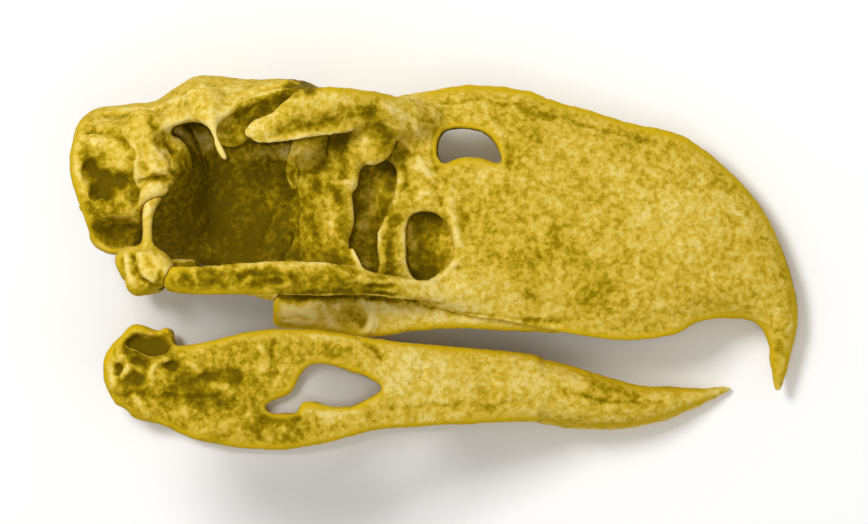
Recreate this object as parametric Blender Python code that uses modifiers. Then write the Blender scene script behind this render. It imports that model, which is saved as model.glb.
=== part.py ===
"""A terror bird's skull with its lower jaw, life size, both lying on their left sides as loose bones rest.

Every bone is modelled as the skull stands: X runs forward from the back of the head, Y to the animal's left and Z up
from the jaw line. Two empties then lay the skull and the lower jaw down on the ground, right side up.
Sizes are in millimetres, and MM turns them into Blender's metres.
"""

import math

import bmesh
import bpy
import numpy as np
from mathutils import Matrix, Vector

MM = 0.001
GAP = 0.4  # clearance between bones that touch
SIDES = {"left": 1.0, "right": -1.0}

# The skull's driving sizes.
SKULL_LENGTH = 337.0
BROW_HALF_WIDTH = 53.0  # of the roof where it is widest, behind the eyes
ORBIT_HALF_WIDTH = 44.0  # of the roof over the eyes
CHEEK_HALF_WIDTH = 58.0  # out to the jugal bars
JOINT_HALF_WIDTH = 50.0  # out to the middle of the jaw joints
BILL_HALF_WIDTH = 32.0  # at the base of the bill
SEPTUM_HALF_THICKNESS = 3.5

# How finely the bones are blended.
VOXEL = 1.5
FINE_VOXEL = 1.0
RELAX_STEPS = 4
SNAP = 0.3  # points this near the midline are put on it

# The upper bill, as stations from its base out to the hook's point: the ridge (x, z), the biting edge (x, z),
# the half width, and how round the section is, from 0 (flat palate) to 1.
BILL = [
    (138.0, 91.5, 138.0, 2.0, BILL_HALF_WIDTH, 0.0),
    (158.0, 92.5, 158.0, -2.0, BILL_HALF_WIDTH - 2.0, 0.0),
    (182.0, 97.3, 182.0, -9.5, 28.3, 0.0),
    (208.0, 95.4, 208.0, -13.8, 26.5, 0.0),
    (229.0, 88.8, 230.0, -18.3, 24.8, 0.0),
    (256.0, 80.8, 256.0, -21.8, 22.5, 0.0),
    (283.0, 73.8, 279.0, -19.4, 19.7, 0.0),
    (300.0, 62.8, 291.0, -13.2, 17.6, 0.1),
    (318.0, 44.0, 304.0, -11.2, 14.5, 0.3),
    (330.5, 21.0, 317.0, -12.6, 10.8, 0.6),
    (SKULL_LENGTH, -3.0, 323.0, -20.0, 8.0, 0.9),
    (335.8, -22.0, 324.4, -31.5, 5.2, 1.0),
    (329.6, -45.0, 326.6, -45.5, 1.8, 1.0),
]
PALATE_RISE = 0.06  # of the bill's depth
TOMIUM_SHARE = 0.8  # of the half width, at the biting edge

# The roof of the skull: x, top z, half width, how far its edges drop, thickness on the midline.
ROOF = [
    (6.0, 80.0, 22.0, 8.0, 14.0),
    (15.0, 87.2, 30.0, 11.0, 16.0),
    (27.0, 88.4, 34.0, 12.0, 16.0),
    (38.0, 89.6, 35.0, 12.0, 16.0),
    (48.0, 96.4, 42.0, 16.0, 18.0),
    (58.0, 101.8, BROW_HALF_WIDTH - 1.0, 21.0, 18.0),
    (70.0, 102.2, BROW_HALF_WIDTH, 19.0, 18.0),
    (84.0, 100.8, ORBIT_HALF_WIDTH + 3.0, 10.0, 17.0),
    (106.0, 100.8, ORBIT_HALF_WIDTH, 5.0, 15.0),
    (117.0, 96.5, ORBIT_HALF_WIDTH - 2.0, 5.0, 14.0),
    (134.0, 94.4, 38.0, 6.0, 14.0),
    (153.0, 92.0, BILL_HALF_WIDTH, 7.0, 14.0),
]
ROOF_EDGE = 3.0  # thickness of the roof's rim

# Rounded masses are a centre (x, y, z) and three radii. Those off the midline are given for the left side.
BRAINCASE = [
    ((39.0, 0.0, 57.0), (35.0, 36.0, 31.0)),
    ((16.0, 0.0, 62.0), (16.0, 17.0, 21.0)),  # over the cerebellum
    ((40.0, 0.0, 34.0), (28.0, 19.0, 14.0)),  # under the brain
    ((12.5, 0.0, 38.0), (7.0, 7.0, 6.0)),  # the ball that the neck turned on
]
BRAINCASE_FLANK = [
    ((20.0, 27.0, 60.0), (16.0, 15.0, 21.0)),
    ((35.0, 36.0, 64.0), (14.0, 12.0, 22.0)),
    ((22.0, 38.0, 36.0), (12.0, 11.0, 16.0)),  # round the ear
    ((45.0, 39.0, 57.0), (10.0, 9.0, 8.0)),
]
BRAINCASE_HOLLOWS = [
    ((52.0, 56.0, 71.5), (14.5, 25.0, 9.5)),  # where the jaw muscle passed
    ((22.5, 50.0, 29.5), (11.0, 17.0, 8.5)),  # the ear
    ((15.5, 52.0, 54.0), (7.5, 12.0, 7.5)),
]
SPINAL_OPENING = ((2.0, 0.0, 51.0), (12.0, 8.0, 6.5))

# Bars are rows of x, y, z, half height and half thickness.
NUCHAL_CREST = [
    (12.0, 2.0, 80.0, 6.5, 6.0),
    (8.5, 22.0, 75.0, 6.5, 6.0),
    (7.0, 36.0, 61.0, 7.0, 6.0),
    (10.5, 41.0, 45.0, 6.5, 6.0),
    (17.5, 40.0, 26.0, 6.0, 5.0),
]
POSTORBITAL_SPIKE = [
    (62.0, BROW_HALF_WIDTH - 7.0, 90.0, 6.0, 6.0),
    (65.5, BROW_HALF_WIDTH + 1.0, 79.0, 3.6, 4.0),
    (70.5, CHEEK_HALF_WIDTH - 1.0, 64.6, 1.8, 2.0),
]

# Openings in the side of the skull, as points (x, z) that a smooth closed line runs through.
NOSTRIL = [
    (170.5, 72.0),
    (174.5, 76.5),
    (184.0, 77.2),
    (194.0, 73.6),
    (199.5, 64.0),
    (198.5, 60.8),
    (190.5, 63.2),
    (180.0, 63.8),
    (173.0, 60.8),
    (170.0, 65.0),
]
FENESTRA = [
    (155.8, 33.0),
    (161.0, 38.3),
    (171.0, 36.5),
    (177.2, 25.8),
    (176.2, 15.5),
    (168.0, 8.0),
    (161.5, 6.2),
    (156.0, 14.5),
]
SLOT = [
    (131.8, 52.5),
    (136.5, 58.0),
    (146.0, 62.0),
    (151.0, 57.0),
    (149.0, 42.5),
    (142.5, 27.0),
    (143.0, 13.0),
    (139.5, 8.2),
    (134.5, 9.0),
    (129.5, 22.0),
    (131.5, 34.0),
]
RECESS_INNER = 7.0  # how near the midline the two recesses reach

# The wall between the eyes, as x, y, top z, bottom z and half thickness, the rod at its foot and the plates beside it.
SEPTUM = [
    (54.0, 0.0, 84.0, 26.0, 7.0),
    (72.0, 0.0, 90.0, 16.0, SEPTUM_HALF_THICKNESS),
    (104.0, 0.0, 92.0, 12.0, SEPTUM_HALF_THICKNESS),
    (146.0, 0.0, 86.0, 6.0, SEPTUM_HALF_THICKNESS),
]
ORBIT_PLATE = ((119.0, 15.0, 50.0), (4.5, 16.5, 38.0))
SEPTUM_ROD = [
    (46.0, 0.0, 25.0, 7.0, 7.0),
    (78.0, 0.0, 16.0, 6.0, 6.0),
    (112.0, 0.0, 11.0, 5.0, 5.0),
    (158.0, 0.0, 6.0, 5.0, 5.0),
]

# The lacrimal: a tongue over the eye, from its free tip forward, and the bar below it.
BROW = [
    (81.5, 54.0, 72.6, 2.2, 2.0),
    (88.0, 54.0, 75.6, 5.6, 3.0),
    (106.0, 51.0, 79.6, 8.8, 4.2),
    (128.0, 44.0, 83.4, 9.4, 5.0),
    (147.0, 35.0, 85.0, 7.0, 5.0),
]
LACRIMAL_BAR = [
    (119.0, 36.0, 80.0, 12.5, 4.0),
    (118.5, 32.0, 55.0, 12.0, 3.5),
    (118.5, 31.0, 30.0, 12.0, 3.5),
    (122.0, 35.0, 12.0, 13.0, 4.0),
]

# The quadrate, which the jaw hangs from: its body, its three knuckles and its two arms.
QUADRATE = [
    ((38.6, JOINT_HALF_WIDTH, 12.0), (10.0, 8.0, 9.5)),
    ((30.0, JOINT_HALF_WIDTH - 2.0, 14.5), (7.0, 6.0, 9.0)),
    ((33.0, JOINT_HALF_WIDTH + 2.0, 4.6), (5.5, 5.0, 5.0)),
    ((37.0, JOINT_HALF_WIDTH - 9.0, 4.6), (5.5, 6.0, 4.6)),
    ((42.0, JOINT_HALF_WIDTH + 5.0, 8.5), (5.0, 5.0, 5.0)),
]
QUADRATE_UPPER_ARM = [
    (37.5, JOINT_HALF_WIDTH - 2.0, 14.0, 4.0, 4.0),
    (36.5, JOINT_HALF_WIDTH - 5.0, 31.0, 2.8, 3.0),
    (42.0, JOINT_HALF_WIDTH - 10.0, 50.0, 4.0, 4.0),
]
QUADRATE_INNER_ARM = [(42.0, JOINT_HALF_WIDTH - 6.0, 15.0, 4.0, 3.0), (60.0, 29.0, 25.0, 3.0, 1.6)]

# The bars of the cheek and the palate.
JUGAL = [
    (36.0, CHEEK_HALF_WIDTH - 1.5, 8.0, 6.0, 3.4),
    (60.0, CHEEK_HALF_WIDTH, 6.8, 7.2, 3.4),
    (90.0, CHEEK_HALF_WIDTH - 3.5, 7.8, 8.0, 3.4),
    (118.0, 47.5, 7.6, 8.0, 3.4),
    (142.0, 38.5, 4.8, 5.6, 3.6),
    (172.0, 28.5, 1.0, 5.2, 4.0),
]
PALATINE = [
    (94.8, 12.5, -6.6, 8.6, 2.6),
    (112.0, 14.5, -6.0, 10.0, 3.6),
    (140.0, 16.0, -7.6, 11.8, 4.2),
    (172.0, 15.0, -9.4, 6.2, 4.2),
    (204.0, 13.0, -13.4, 3.4, 3.6),
    (228.0, 11.0, -16.0, 2.0, 3.0),
]
PTERYGOID = [
    (42.0, JOINT_HALF_WIDTH - 9.0, 9.0, 3.6, 3.2),
    (64.0, 25.0, 7.0, 3.2, 3.0),
    (98.0, 12.0, 0.5, 4.2, 2.4),
]

# The lower jaw, in the place the picture gives it. Rami: x, y, top z, bottom z, half thickness.
RAMUS = [
    (22.0, JOINT_HALF_WIDTH, -24.0, -50.0, 5.0),
    (40.0, JOINT_HALF_WIDTH, -23.5, -58.4, 5.2),
    (60.0, JOINT_HALF_WIDTH - 0.6, -21.5, -67.0, 4.6),
    (88.0, 45.0, -15.3, -71.2, 4.2),
    (115.0, 39.0, -15.5, -69.0, 4.2),
    (140.0, 32.5, -19.4, -62.4, 4.4),
    (170.0, 24.0, -22.4, -60.0, 4.8),
    (200.0, 15.5, -25.0, -58.2, 5.4),
    (216.0, 11.0, -27.6, -57.6, 6.0),
]
# The joined tip: x, top z, bottom z, half width.
SYMPHYSIS = [
    (198.0, -24.6, -57.8, 21.0),
    (214.0, -26.0, -57.8, 18.6),
    (232.0, -29.8, -60.8, 16.2),
    (254.0, -37.4, -61.2, 13.0),
    (274.0, -41.4, -57.2, 9.4),
    (292.0, -42.2, -51.0, 5.4),
    (303.0, -42.2, -46.2, 2.6),
    (308.0, -42.6, -43.8, 0.9),
]
SYMPHYSIS_TROUGH = [
    (190.0, 0.0, -20.0, 15.0, 12.0),
    (228.0, 0.0, -26.0, 12.0, 7.0),
    (270.0, 0.0, -37.5, 6.0, 3.4),
]
JAW_JOINT = [
    ((25.0, JOINT_HALF_WIDTH - 2.5, -34.5), (10.0, 7.5, 15.0)),
    ((31.0, JOINT_HALF_WIDTH - 2.5, -25.0), (8.0, 7.5, 11.5)),
    ((44.2, JOINT_HALF_WIDTH - 1.0, -23.0), (3.6, 6.0, 9.0)),
    ((38.0, JOINT_HALF_WIDTH - 2.0, -42.0), (18.0, 7.0, 16.0)),
]
JAW_CUP = ((37.5, JOINT_HALF_WIDTH + 5.0, -22.0), (8.5, 8.0, 6.0))
JAW_INNER_ARM = [(33.0, JOINT_HALF_WIDTH - 2.0, -31.0, 7.0, 6.0), (30.0, 33.0, -27.0, 4.5, 4.0)]
JAW_WINDOW = [
    (89.6, -51.6),
    (91.5, -54.0),
    (102.0, -54.2),
    (106.5, -49.4),
    (113.0, -49.0),
    (124.0, -51.0),
    (134.0, -49.0),
    (144.6, -43.5),
    (138.0, -38.0),
    (126.5, -34.4),
    (114.5, -31.7),
    (108.5, -33.5),
    (103.0, -41.0),
    (99.0, -46.6),
]
JAW_CUT_REAR = 50.0  # where the joint block ends
JAW_CUT_FRONT = 146.0  # where the dentary begins
JAW_CUT_TIP = 205.0  # where the two sides become one
JAW_CUT_LEVEL = -52.6  # between the upper and lower bars

# How the bones lean as they lie, from square on their left sides: the dip of the front end and the roll of the top,
# in degrees. Each then stands on the face of its hull that is under its weight.
SKULL_LEAN = (11.35, -0.37)
JAW_LEAN = (12.1, 0.38)
JAW_MIDDLE = (160.0, 0.0, -42.0)
JAW_DROP = 1.0  # how much further below the skull it lies, so that the two lie clear of each other

FAR = 120.0  # past the skull on either side

# How many triangles each bone is brought to before it is fitted to its neighbours.
TRIANGLES = {
    "cranium": 1900,
    "upper_bill": 1150,
    "septum": 200,
    "ectethmoid": 60,
    "lacrimal": 340,
    "quadrate": 280,
    "jugal_bar": 160,
    "palatine": 170,
    "pterygoid": 90,
    "lower_jaw": 1450,
}


def smooth_rows(rows, count, closed=False):
    """Reads count rows off the smooth curve through rows, at even steps of its length."""
    rows = np.array(rows, float)
    if closed:
        rows = np.vstack([rows[-1:], rows, rows[:2]])
    else:
        rows = np.vstack([2 * rows[0] - rows[1], rows, 2 * rows[-1] - rows[-2]])
    fine = []
    for before, start, end, after in zip(rows, rows[1:], rows[2:], rows[3:]):
        for t in np.linspace(0.0, 1.0, 24, endpoint=False):
            fine.append(
                0.5
                * (
                    2 * start
                    + (end - before) * t
                    + (2 * before - 5 * start + 4 * end - after) * t**2
                    + (3 * start - 3 * end + after - before) * t**3
                )
            )
    if not closed:
        fine.append(rows[-2])
    fine = np.array(fine)
    steps = np.linalg.norm(np.diff(fine, axis=0), axis=1)
    along = np.concatenate([[0.0], np.cumsum(steps)])
    wanted = np.linspace(0.0, along[-1], count)
    return np.stack([np.interp(wanted, along, column) for column in fine.T], axis=1)


def from_bmesh(name, made):
    mesh = bpy.data.meshes.new(name)
    made.to_mesh(mesh)
    made.free()
    obj = bpy.data.objects.new(name, mesh)
    bpy.context.scene.collection.objects.link(obj)
    return obj


def as_mesh(obj):
    """Replaces obj by its evaluated mesh, with its place moved into the vertices."""
    graph = bpy.context.evaluated_depsgraph_get()
    graph.update()
    mesh = bpy.data.meshes.new_from_object(obj.evaluated_get(graph))
    mesh.transform(obj.matrix_world)
    made = bmesh.new()
    made.from_mesh(mesh)
    bmesh.ops.remove_doubles(made, verts=made.verts, dist=1e-6)
    bmesh.ops.recalc_face_normals(made, faces=made.faces)
    bpy.data.meshes.remove(mesh)
    name = obj.name
    bpy.data.objects.remove(obj)
    return from_bmesh(name, made)


def loft(name, rings):
    """Joins rings of points, all of one length, into a closed skin with capped ends."""
    made = bmesh.new()
    loops = [[made.verts.new(Vector(point) * MM) for point in ring] for ring in rings]
    for low, high in zip(loops, loops[1:]):
        for i in range(len(low)):
            j = (i + 1) % len(low)
            made.faces.new((low[i], low[j], high[j], high[i]))
    made.faces.new(loops[0][::-1])
    made.faces.new(loops[-1])
    bmesh.ops.recalc_face_normals(made, faces=made.faces)
    return from_bmesh(name, made)


def blob(centre, radii, side=1.0):
    """An ellipsoid, made from a sphere, on the given side of the head."""
    x, y, z = centre
    made = bmesh.new()
    bmesh.ops.create_uvsphere(made, u_segments=24, v_segments=16, radius=1.0)
    place = Matrix.Translation(Vector((x, side * y, z)) * MM)
    made.transform(place @ Matrix.Diagonal([*(Vector(radii) * MM), 1.0]))
    return from_bmesh("blob", made)


def strap(rows, side=1.0, flat="Z", sides=16):
    """A bar of elliptical section along rows of x, y, z, half height and half thickness.

    The height stands along the axis that flat names, as nearly as the bar's direction allows.
    """
    rows = smooth_rows(rows, 4 * len(rows))
    rows[:, 1] *= side
    ends = [(-0.75, 0.5), (-0.4, 0.85)]
    direction = np.gradient(rows[:, :3], axis=0)
    direction /= np.linalg.norm(direction, axis=1)[:, None]
    stretched = [(rows[0], direction[0], shift, scale) for shift, scale in ends]
    stretched += [(row, way, 0.0, 1.0) for row, way in zip(rows, direction)]
    stretched += [(rows[-1], direction[-1], -shift, scale) for shift, scale in ends[::-1]]
    height_axis = np.array({"X": (1, 0, 0), "Z": (0, 0, 1)}[flat], float)
    rings = []
    for row, way, shift, scale in stretched:
        height = height_axis - way * (height_axis @ way)
        height /= np.linalg.norm(height)
        across = np.cross(way, height)
        middle = row[:3] + way * shift * min(row[3], row[4])
        turns = np.arange(sides) * 2 * math.pi / sides
        rings.append(
            [
                middle + scale * (row[3] * math.cos(a) * height + row[4] * math.sin(a) * across)
                for a in turns
            ]
        )
    return loft("strap", rings)


def blade(rows, stations, side=1.0, points=16):
    """A bar that stands on edge: rows of x, y, top z, bottom z and half thickness."""
    rings = []
    for x, y, top, bottom, thick in smooth_rows(rows, stations):
        ring = []
        for i in range(points):
            a = 2 * math.pi * i / points
            level = (top + bottom) / 2 + (top - bottom) / 2 * math.cos(a)
            # A power under 1 keeps the bar's flanks flat and its edges blunt.
            swell = math.copysign(abs(math.sin(a)) ** 0.4, math.sin(a))
            ring.append((x, side * y + thick * swell, level))
        rings.append(ring)
    return loft("blade", rings)


def prism(outline, inner, outer, points=40):
    """A cutter: the smooth closed line through outline (x, z), filled and drawn out from y inner to outer."""
    curve = bpy.data.curves.new("prism", "CURVE")
    curve.dimensions = "2D"
    curve.fill_mode = "BOTH"
    curve.extrude = abs(outer - inner) / 2 * MM
    spline = curve.splines.new("POLY")
    ring = smooth_rows(outline, points + 1, closed=True)[:-1]
    spline.points.add(len(ring) - 1)
    for point, (x, z) in zip(spline.points, ring):
        point.co = (x * MM, z * MM, 0.0, 1.0)
    spline.use_cyclic_u = True
    obj = bpy.data.objects.new("prism", curve)
    bpy.context.scene.collection.objects.link(obj)
    obj.location = (0.0, (inner + outer) / 2 * MM, 0.0)
    obj.rotation_euler = (math.radians(90.0), 0.0, 0.0)
    return as_mesh(obj)


def slab(low, high):
    """A box between two corners."""
    made = bmesh.new()
    bmesh.ops.create_cube(made, size=1.0)
    size = (Vector(high) - Vector(low)) * MM
    middle = (Vector(high) + Vector(low)) / 2 * MM
    made.transform(Matrix.Translation(middle) @ Matrix.Diagonal([*size, 1.0]))
    return from_bmesh("slab", made)


def both_sides(make):
    """Calls make for each side of the head with +1 or -1, and collects what it makes."""
    return [shell for side in SIDES.values() for shell in make(side)]


def joined(name, shells):
    """One object of several overlapping shells, which it uses up."""
    made = bmesh.new()
    for shell in shells:
        made.from_mesh(shell.data)
        bpy.data.objects.remove(shell)
    return from_bmesh(name, made)


def remeshed(obj, voxel):
    """Melts overlapping shells into one skin."""
    melt = obj.modifiers.new("melt", "REMESH")
    melt.mode = "VOXEL"
    melt.voxel_size = voxel * MM
    return as_mesh(obj)


def subtract(obj, cutter, grow=0.0):
    """Cuts cutter, grown by grow, out of obj."""
    if grow:
        swell = cutter.modifiers.new("swell", "DISPLACE")
        swell.strength = grow * MM
        swell.mid_level = 0.0
    cut = obj.modifiers.new("cut", "BOOLEAN")
    cut.operation = "DIFFERENCE"
    cut.object = cutter
    cut.use_self = True  # a grown cutter may fold over itself in a tight corner
    result = as_mesh(obj)
    if grow:
        cutter.modifiers.clear()
    return result


def main_piece(obj):
    """Keeps the largest of the pieces that a cut leaves."""
    made = bmesh.new()
    made.from_mesh(obj.data)
    seen = set()
    pieces = []
    for start in made.verts:
        if start in seen:
            continue
        piece = [start]
        seen.add(start)
        for vert in piece:
            for edge in vert.link_edges:
                other = edge.other_vert(vert)
                if other not in seen:
                    seen.add(other)
                    piece.append(other)
        pieces.append(piece)
    pieces.sort(key=len)
    bmesh.ops.delete(made, geom=[v for piece in pieces[:-1] for v in piece], context="VERTS")
    made.to_mesh(obj.data)
    made.free()
    return obj


def fused(name, shells, hollows=(), voxel=VOXEL, symmetric=False):
    """One bone: shells melted together, hollows cut from it, smoothed, and brought to its number of triangles.

    A symmetric bone's left half is then mirrored, so that its neighbours on both sides fit it.
    """
    bone = remeshed(joined(name, shells), voxel)
    if hollows:
        cutter = remeshed(joined("hollows", hollows), voxel)
        bone = remeshed(subtract(bone, cutter), voxel)
        bpy.data.objects.remove(cutter)
    soften = bone.modifiers.new("soften", "SMOOTH")
    soften.factor = 0.5
    soften.iterations = RELAX_STEPS
    bone = main_piece(as_mesh(bone))
    thin = bone.modifiers.new("thin", "DECIMATE")
    thin.ratio = TRIANGLES[name] / sum(len(face.vertices) - 2 for face in bone.data.polygons)
    thin.use_collapse_triangulate = True
    bone = as_mesh(bone)
    return evened(bone) if symmetric else bone


def evened(bone):
    """Cuts a bone at the midline and mirrors its left half."""
    made = bmesh.new()
    made.from_mesh(bone.data)
    for vert in made.verts:
        if abs(vert.co.y) < SNAP * MM:
            vert.co.y = 0.0
    everything = [*made.verts, *made.edges, *made.faces]
    bmesh.ops.bisect_plane(made, geom=everything, plane_co=(0, 0, 0), plane_no=(0, 1, 0), clear_inner=True)
    flat = [face for face in made.faces if all(vert.co.y == 0.0 for vert in face.verts)]
    bmesh.ops.delete(made, geom=flat, context="FACES_ONLY")
    everything = [*made.verts, *made.edges, *made.faces]
    bmesh.ops.mirror(made, geom=everything, axis="Y", merge_dist=1e-3 * MM)
    bmesh.ops.recalc_face_normals(made, faces=made.faces)
    made.to_mesh(bone.data)
    made.free()
    return bone


def fitted(bone, *neighbours):
    """Trims bone where it would run into its neighbours, and leaves the clearance between them."""
    for other in neighbours:
        bone = subtract(bone, other, grow=GAP)
    return main_piece(bone)


def pair(bone):
    """Names a left bone for its side, and adds the right one."""
    made = bmesh.new()
    made.from_mesh(bone.data)
    made.transform(Matrix.Diagonal([1.0, -1.0, 1.0, 1.0]))
    bmesh.ops.reverse_faces(made, faces=made.faces)
    right = from_bmesh(f"{bone.name}_right", made)
    bone.name = f"{bone.name}_left"
    return [bone, right]


def cranium():
    """Braincase, occiput and roof, with the processes that grow from them."""

    def flank(side):
        return [
            *(blob(centre, radii, side) for centre, radii in BRAINCASE_FLANK),
            strap(NUCHAL_CREST, side, flat="X"),
            strap(POSTORBITAL_SPIKE, side, flat="X"),
        ]

    def flank_hollows(side):
        return [blob(centre, radii, side) for centre, radii in BRAINCASE_HOLLOWS]

    shells = [roof_shell(), *(blob(centre, radii) for centre, radii in BRAINCASE)]
    hollows = [blob(*SPINAL_OPENING)]
    return fused("cranium", shells + both_sides(flank), hollows + both_sides(flank_hollows), symmetric=True)


def roof_shell(stations=30, half_points=9):
    """The skull roof, a vault whose rim thins to an edge over the eyes."""
    rings = []
    across = np.linspace(-1.0, 1.0, 2 * half_points + 1)
    for x, top, width, drop, thick in smooth_rows(ROOF, stations):
        upper = [(x, u * width, top - drop * u * u) for u in across]
        depth = ROOF_EDGE + (thick - ROOF_EDGE) * (1 - across**2)
        lower = [(x, u * width * 0.97, top - drop * u * u - d) for u, d in zip(across, depth)]
        rings.append(upper + lower[::-1])
    return loft("roof", rings)


def bill_ring(row, half_points):
    """A section of the upper bill: palate, biting edge, flank and ridge, or an ellipse where the hook is round."""
    ridge = np.array([row[0], 0.0, row[1]])
    edge = np.array([row[2], 0.0, row[3]])
    half = []
    for i in range(half_points):
        t = i / (half_points - 1)
        height = (1 - math.cos(math.pi * t)) / 2
        flank = max(0.0, 1 - height**2.6) ** 0.62
        foot = min(1.0, height / 0.22)
        flank *= TOMIUM_SHARE + (1 - TOMIUM_SHARE) * foot * foot * (3 - 2 * foot)
        oval = math.sin(math.pi * t)
        width = row[4] * (flank * (1 - row[5]) + oval * row[5])
        half.append(edge + (ridge - edge) * height + np.array([0.0, width, 0.0]))
    rise = PALATE_RISE * (1 - row[5])
    palate = edge + (ridge - edge) * rise
    other = [point * (1, -1, 1) for point in half[::-1]]
    return [palate, *half, *other[1:]]


def bill_shell(stations=40, half_points=16):
    rows = smooth_rows(BILL, stations)
    rows[:, 5] = np.clip(rows[:, 5], 0.0, 0.97)
    return loft("bill", [bill_ring(row, half_points) for row in rows])


def upper_bill():
    """Premaxillae, nasals and maxillae, with the nostril right through and a recess before each eye."""
    hollows = [prism(NOSTRIL, -FAR, FAR)]
    for side in SIDES.values():
        near, far = sorted((side * RECESS_INNER, side * FAR))
        hollows += [prism(FENESTRA, near, far), prism(SLOT, near, far)]
    return fused("upper_bill", [bill_shell()], hollows, symmetric=True)


def septum():
    """The thin wall between the eyes and the rod along its foot."""
    return fused("septum", [blade(SEPTUM, 12), strap(SEPTUM_ROD)], symmetric=True)


def lacrimal():
    return fused("lacrimal", [strap(BROW), strap(LACRIMAL_BAR, flat="X")], voxel=FINE_VOXEL)


def quadrate():
    knuckles = [blob(centre, radii) for centre, radii in QUADRATE]
    arms = [strap(QUADRATE_UPPER_ARM, flat="X"), strap(QUADRATE_INNER_ARM)]
    return fused("quadrate", knuckles + arms, voxel=FINE_VOXEL)


def lower_jaw():
    """The whole lower jaw, before it is parted."""

    def half(side):
        return [
            blade(RAMUS, 26, side),
            *(blob(centre, radii, side) for centre, radii in JAW_JOINT),
            strap(JAW_INNER_ARM, side),
        ]

    def half_hollows(side):
        near, far = sorted((0.0, side * FAR))
        return [prism(JAW_WINDOW, near, far, points=48), blob(*JAW_CUP, side)]

    return fused(
        "lower_jaw",
        [symphysis_shell()] + both_sides(half),
        [strap(SYMPHYSIS_TROUGH)] + both_sides(half_hollows),
        symmetric=True,
    )


def symphysis_shell(stations=24, points=24):
    rings = []
    for x, top, bottom, width in smooth_rows(SYMPHYSIS, stations):
        middle, reach = (top + bottom) / 2, (top - bottom) / 2
        ring = []
        for i in range(points):
            a = 2 * math.pi * i / points
            level = middle + reach * math.copysign(abs(math.cos(a)) ** 0.8, math.cos(a))
            ring.append((x, width * math.sin(a), level))
        rings.append(ring)
    return loft("symphysis", rings)


def jaw_parts(whole):
    """Parts the lower jaw with thin cuts: the tip, and a dentary, upper bar, lower bar and joint block each side."""
    half = GAP / 2
    rear, front, tip, level = JAW_CUT_REAR, JAW_CUT_FRONT, JAW_CUT_TIP, JAW_CUT_LEVEL
    spans = {"mandible_tip": ((tip + half, -FAR, -FAR), (SKULL_LENGTH, FAR, FAR))}
    for name, side in SIDES.items():
        near, out = sorted((side * half, side * FAR))
        spans[f"dentary_{name}"] = ((front + half, near, -FAR), (tip - half, out, FAR))
        spans[f"surangular_{name}"] = ((rear + half, near, level + half), (front - half, out, FAR))
        spans[f"angular_{name}"] = ((rear + half, near, -FAR), (front - half, out, level - half))
        spans[f"articular_{name}"] = ((-FAR, near, -FAR), (rear - half, out, FAR))
    parts = []
    for name, (low, high) in spans.items():
        room = slab(low, high)
        part = whole.copy()
        part.data = whole.data.copy()
        bpy.context.scene.collection.objects.link(part)
        part.name = name
        keep = part.modifiers.new("keep", "BOOLEAN")
        keep.operation = "INTERSECT"
        keep.object = room
        parts.append(main_piece(as_mesh(part)))
        bpy.data.objects.remove(room)
    bpy.data.objects.remove(whole)
    return parts


def bone_material():
    made = bpy.data.materials.new("bone")
    made.use_nodes = True
    shader = made.node_tree.nodes["Principled BSDF"]
    shader.inputs["Base Color"].default_value = (0.62, 0.45, 0.08, 1.0)
    shader.inputs["Roughness"].default_value = 0.6
    shader.inputs["Metallic"].default_value = 0.0
    return made


def resting_turn(lean):
    """The turn that lays a bone on its left side, with its lean."""
    dip, roll = (math.radians(angle) for angle in lean)
    down = Vector((math.sin(dip), math.cos(dip), math.sin(roll)))
    side_down = Matrix.Rotation(math.radians(-90.0), 3, "X")
    turn = (side_down @ down).rotation_difference(Vector((0.0, 0.0, -1.0))).to_matrix()
    return (turn @ side_down).to_4x4()


def on_the_ground(turn, bones):
    """Adds to a turn the lift that brings the bones' lowest point to the ground."""
    lowest = min((turn @ vert.co).z for bone in bones for vert in bone.data.vertices)
    return Matrix.Translation((0.0, 0.0, -lowest)) @ turn


def lay_down(skull, jaw):
    """Lays both on the ground, each on an empty of its own, with the origin under the middle of the whole.

    Seen straight along the skull's side axis, the jaw keeps its place below the skull.
    """
    turns = [on_the_ground(resting_turn(SKULL_LEAN), skull), on_the_ground(resting_turn(JAW_LEAN), jaw)]
    sight = turns[0].to_3x3() @ Vector((0.0, 1.0, 0.0))
    middle = Vector(JAW_MIDDLE) * MM
    wanted = turns[0] @ (middle - Vector((0.0, 0.0, JAW_DROP)) * MM)
    slip = turns[1] @ middle - wanted
    turns[1] = Matrix.Translation(sight * slip.z / sight.z - slip) @ turns[1]
    corners = np.array(
        [turn @ v.co for turn, bones in zip(turns, (skull, jaw)) for bone in bones for v in bone.data.vertices]
    )
    centre = (corners.min(axis=0) + corners.max(axis=0)) / 2
    for name, turn, bones in zip(("skull_at_rest", "jaw_at_rest"), turns, (skull, jaw)):
        empty = bpy.data.objects.new(name, None)
        bpy.context.scene.collection.objects.link(empty)
        empty.matrix_world = Matrix.Translation((-centre[0], -centre[1], 0.0)) @ turn
        for bone in bones:
            bone.parent = empty


def file_away(bones):
    """Puts the bones in a collection of their own."""
    home = bpy.data.collections.new("terror_bird_skull")
    bpy.context.scene.collection.children.link(home)
    for bone in bones:
        home.objects.link(bone)
        bpy.context.scene.collection.objects.unlink(bone)


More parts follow.
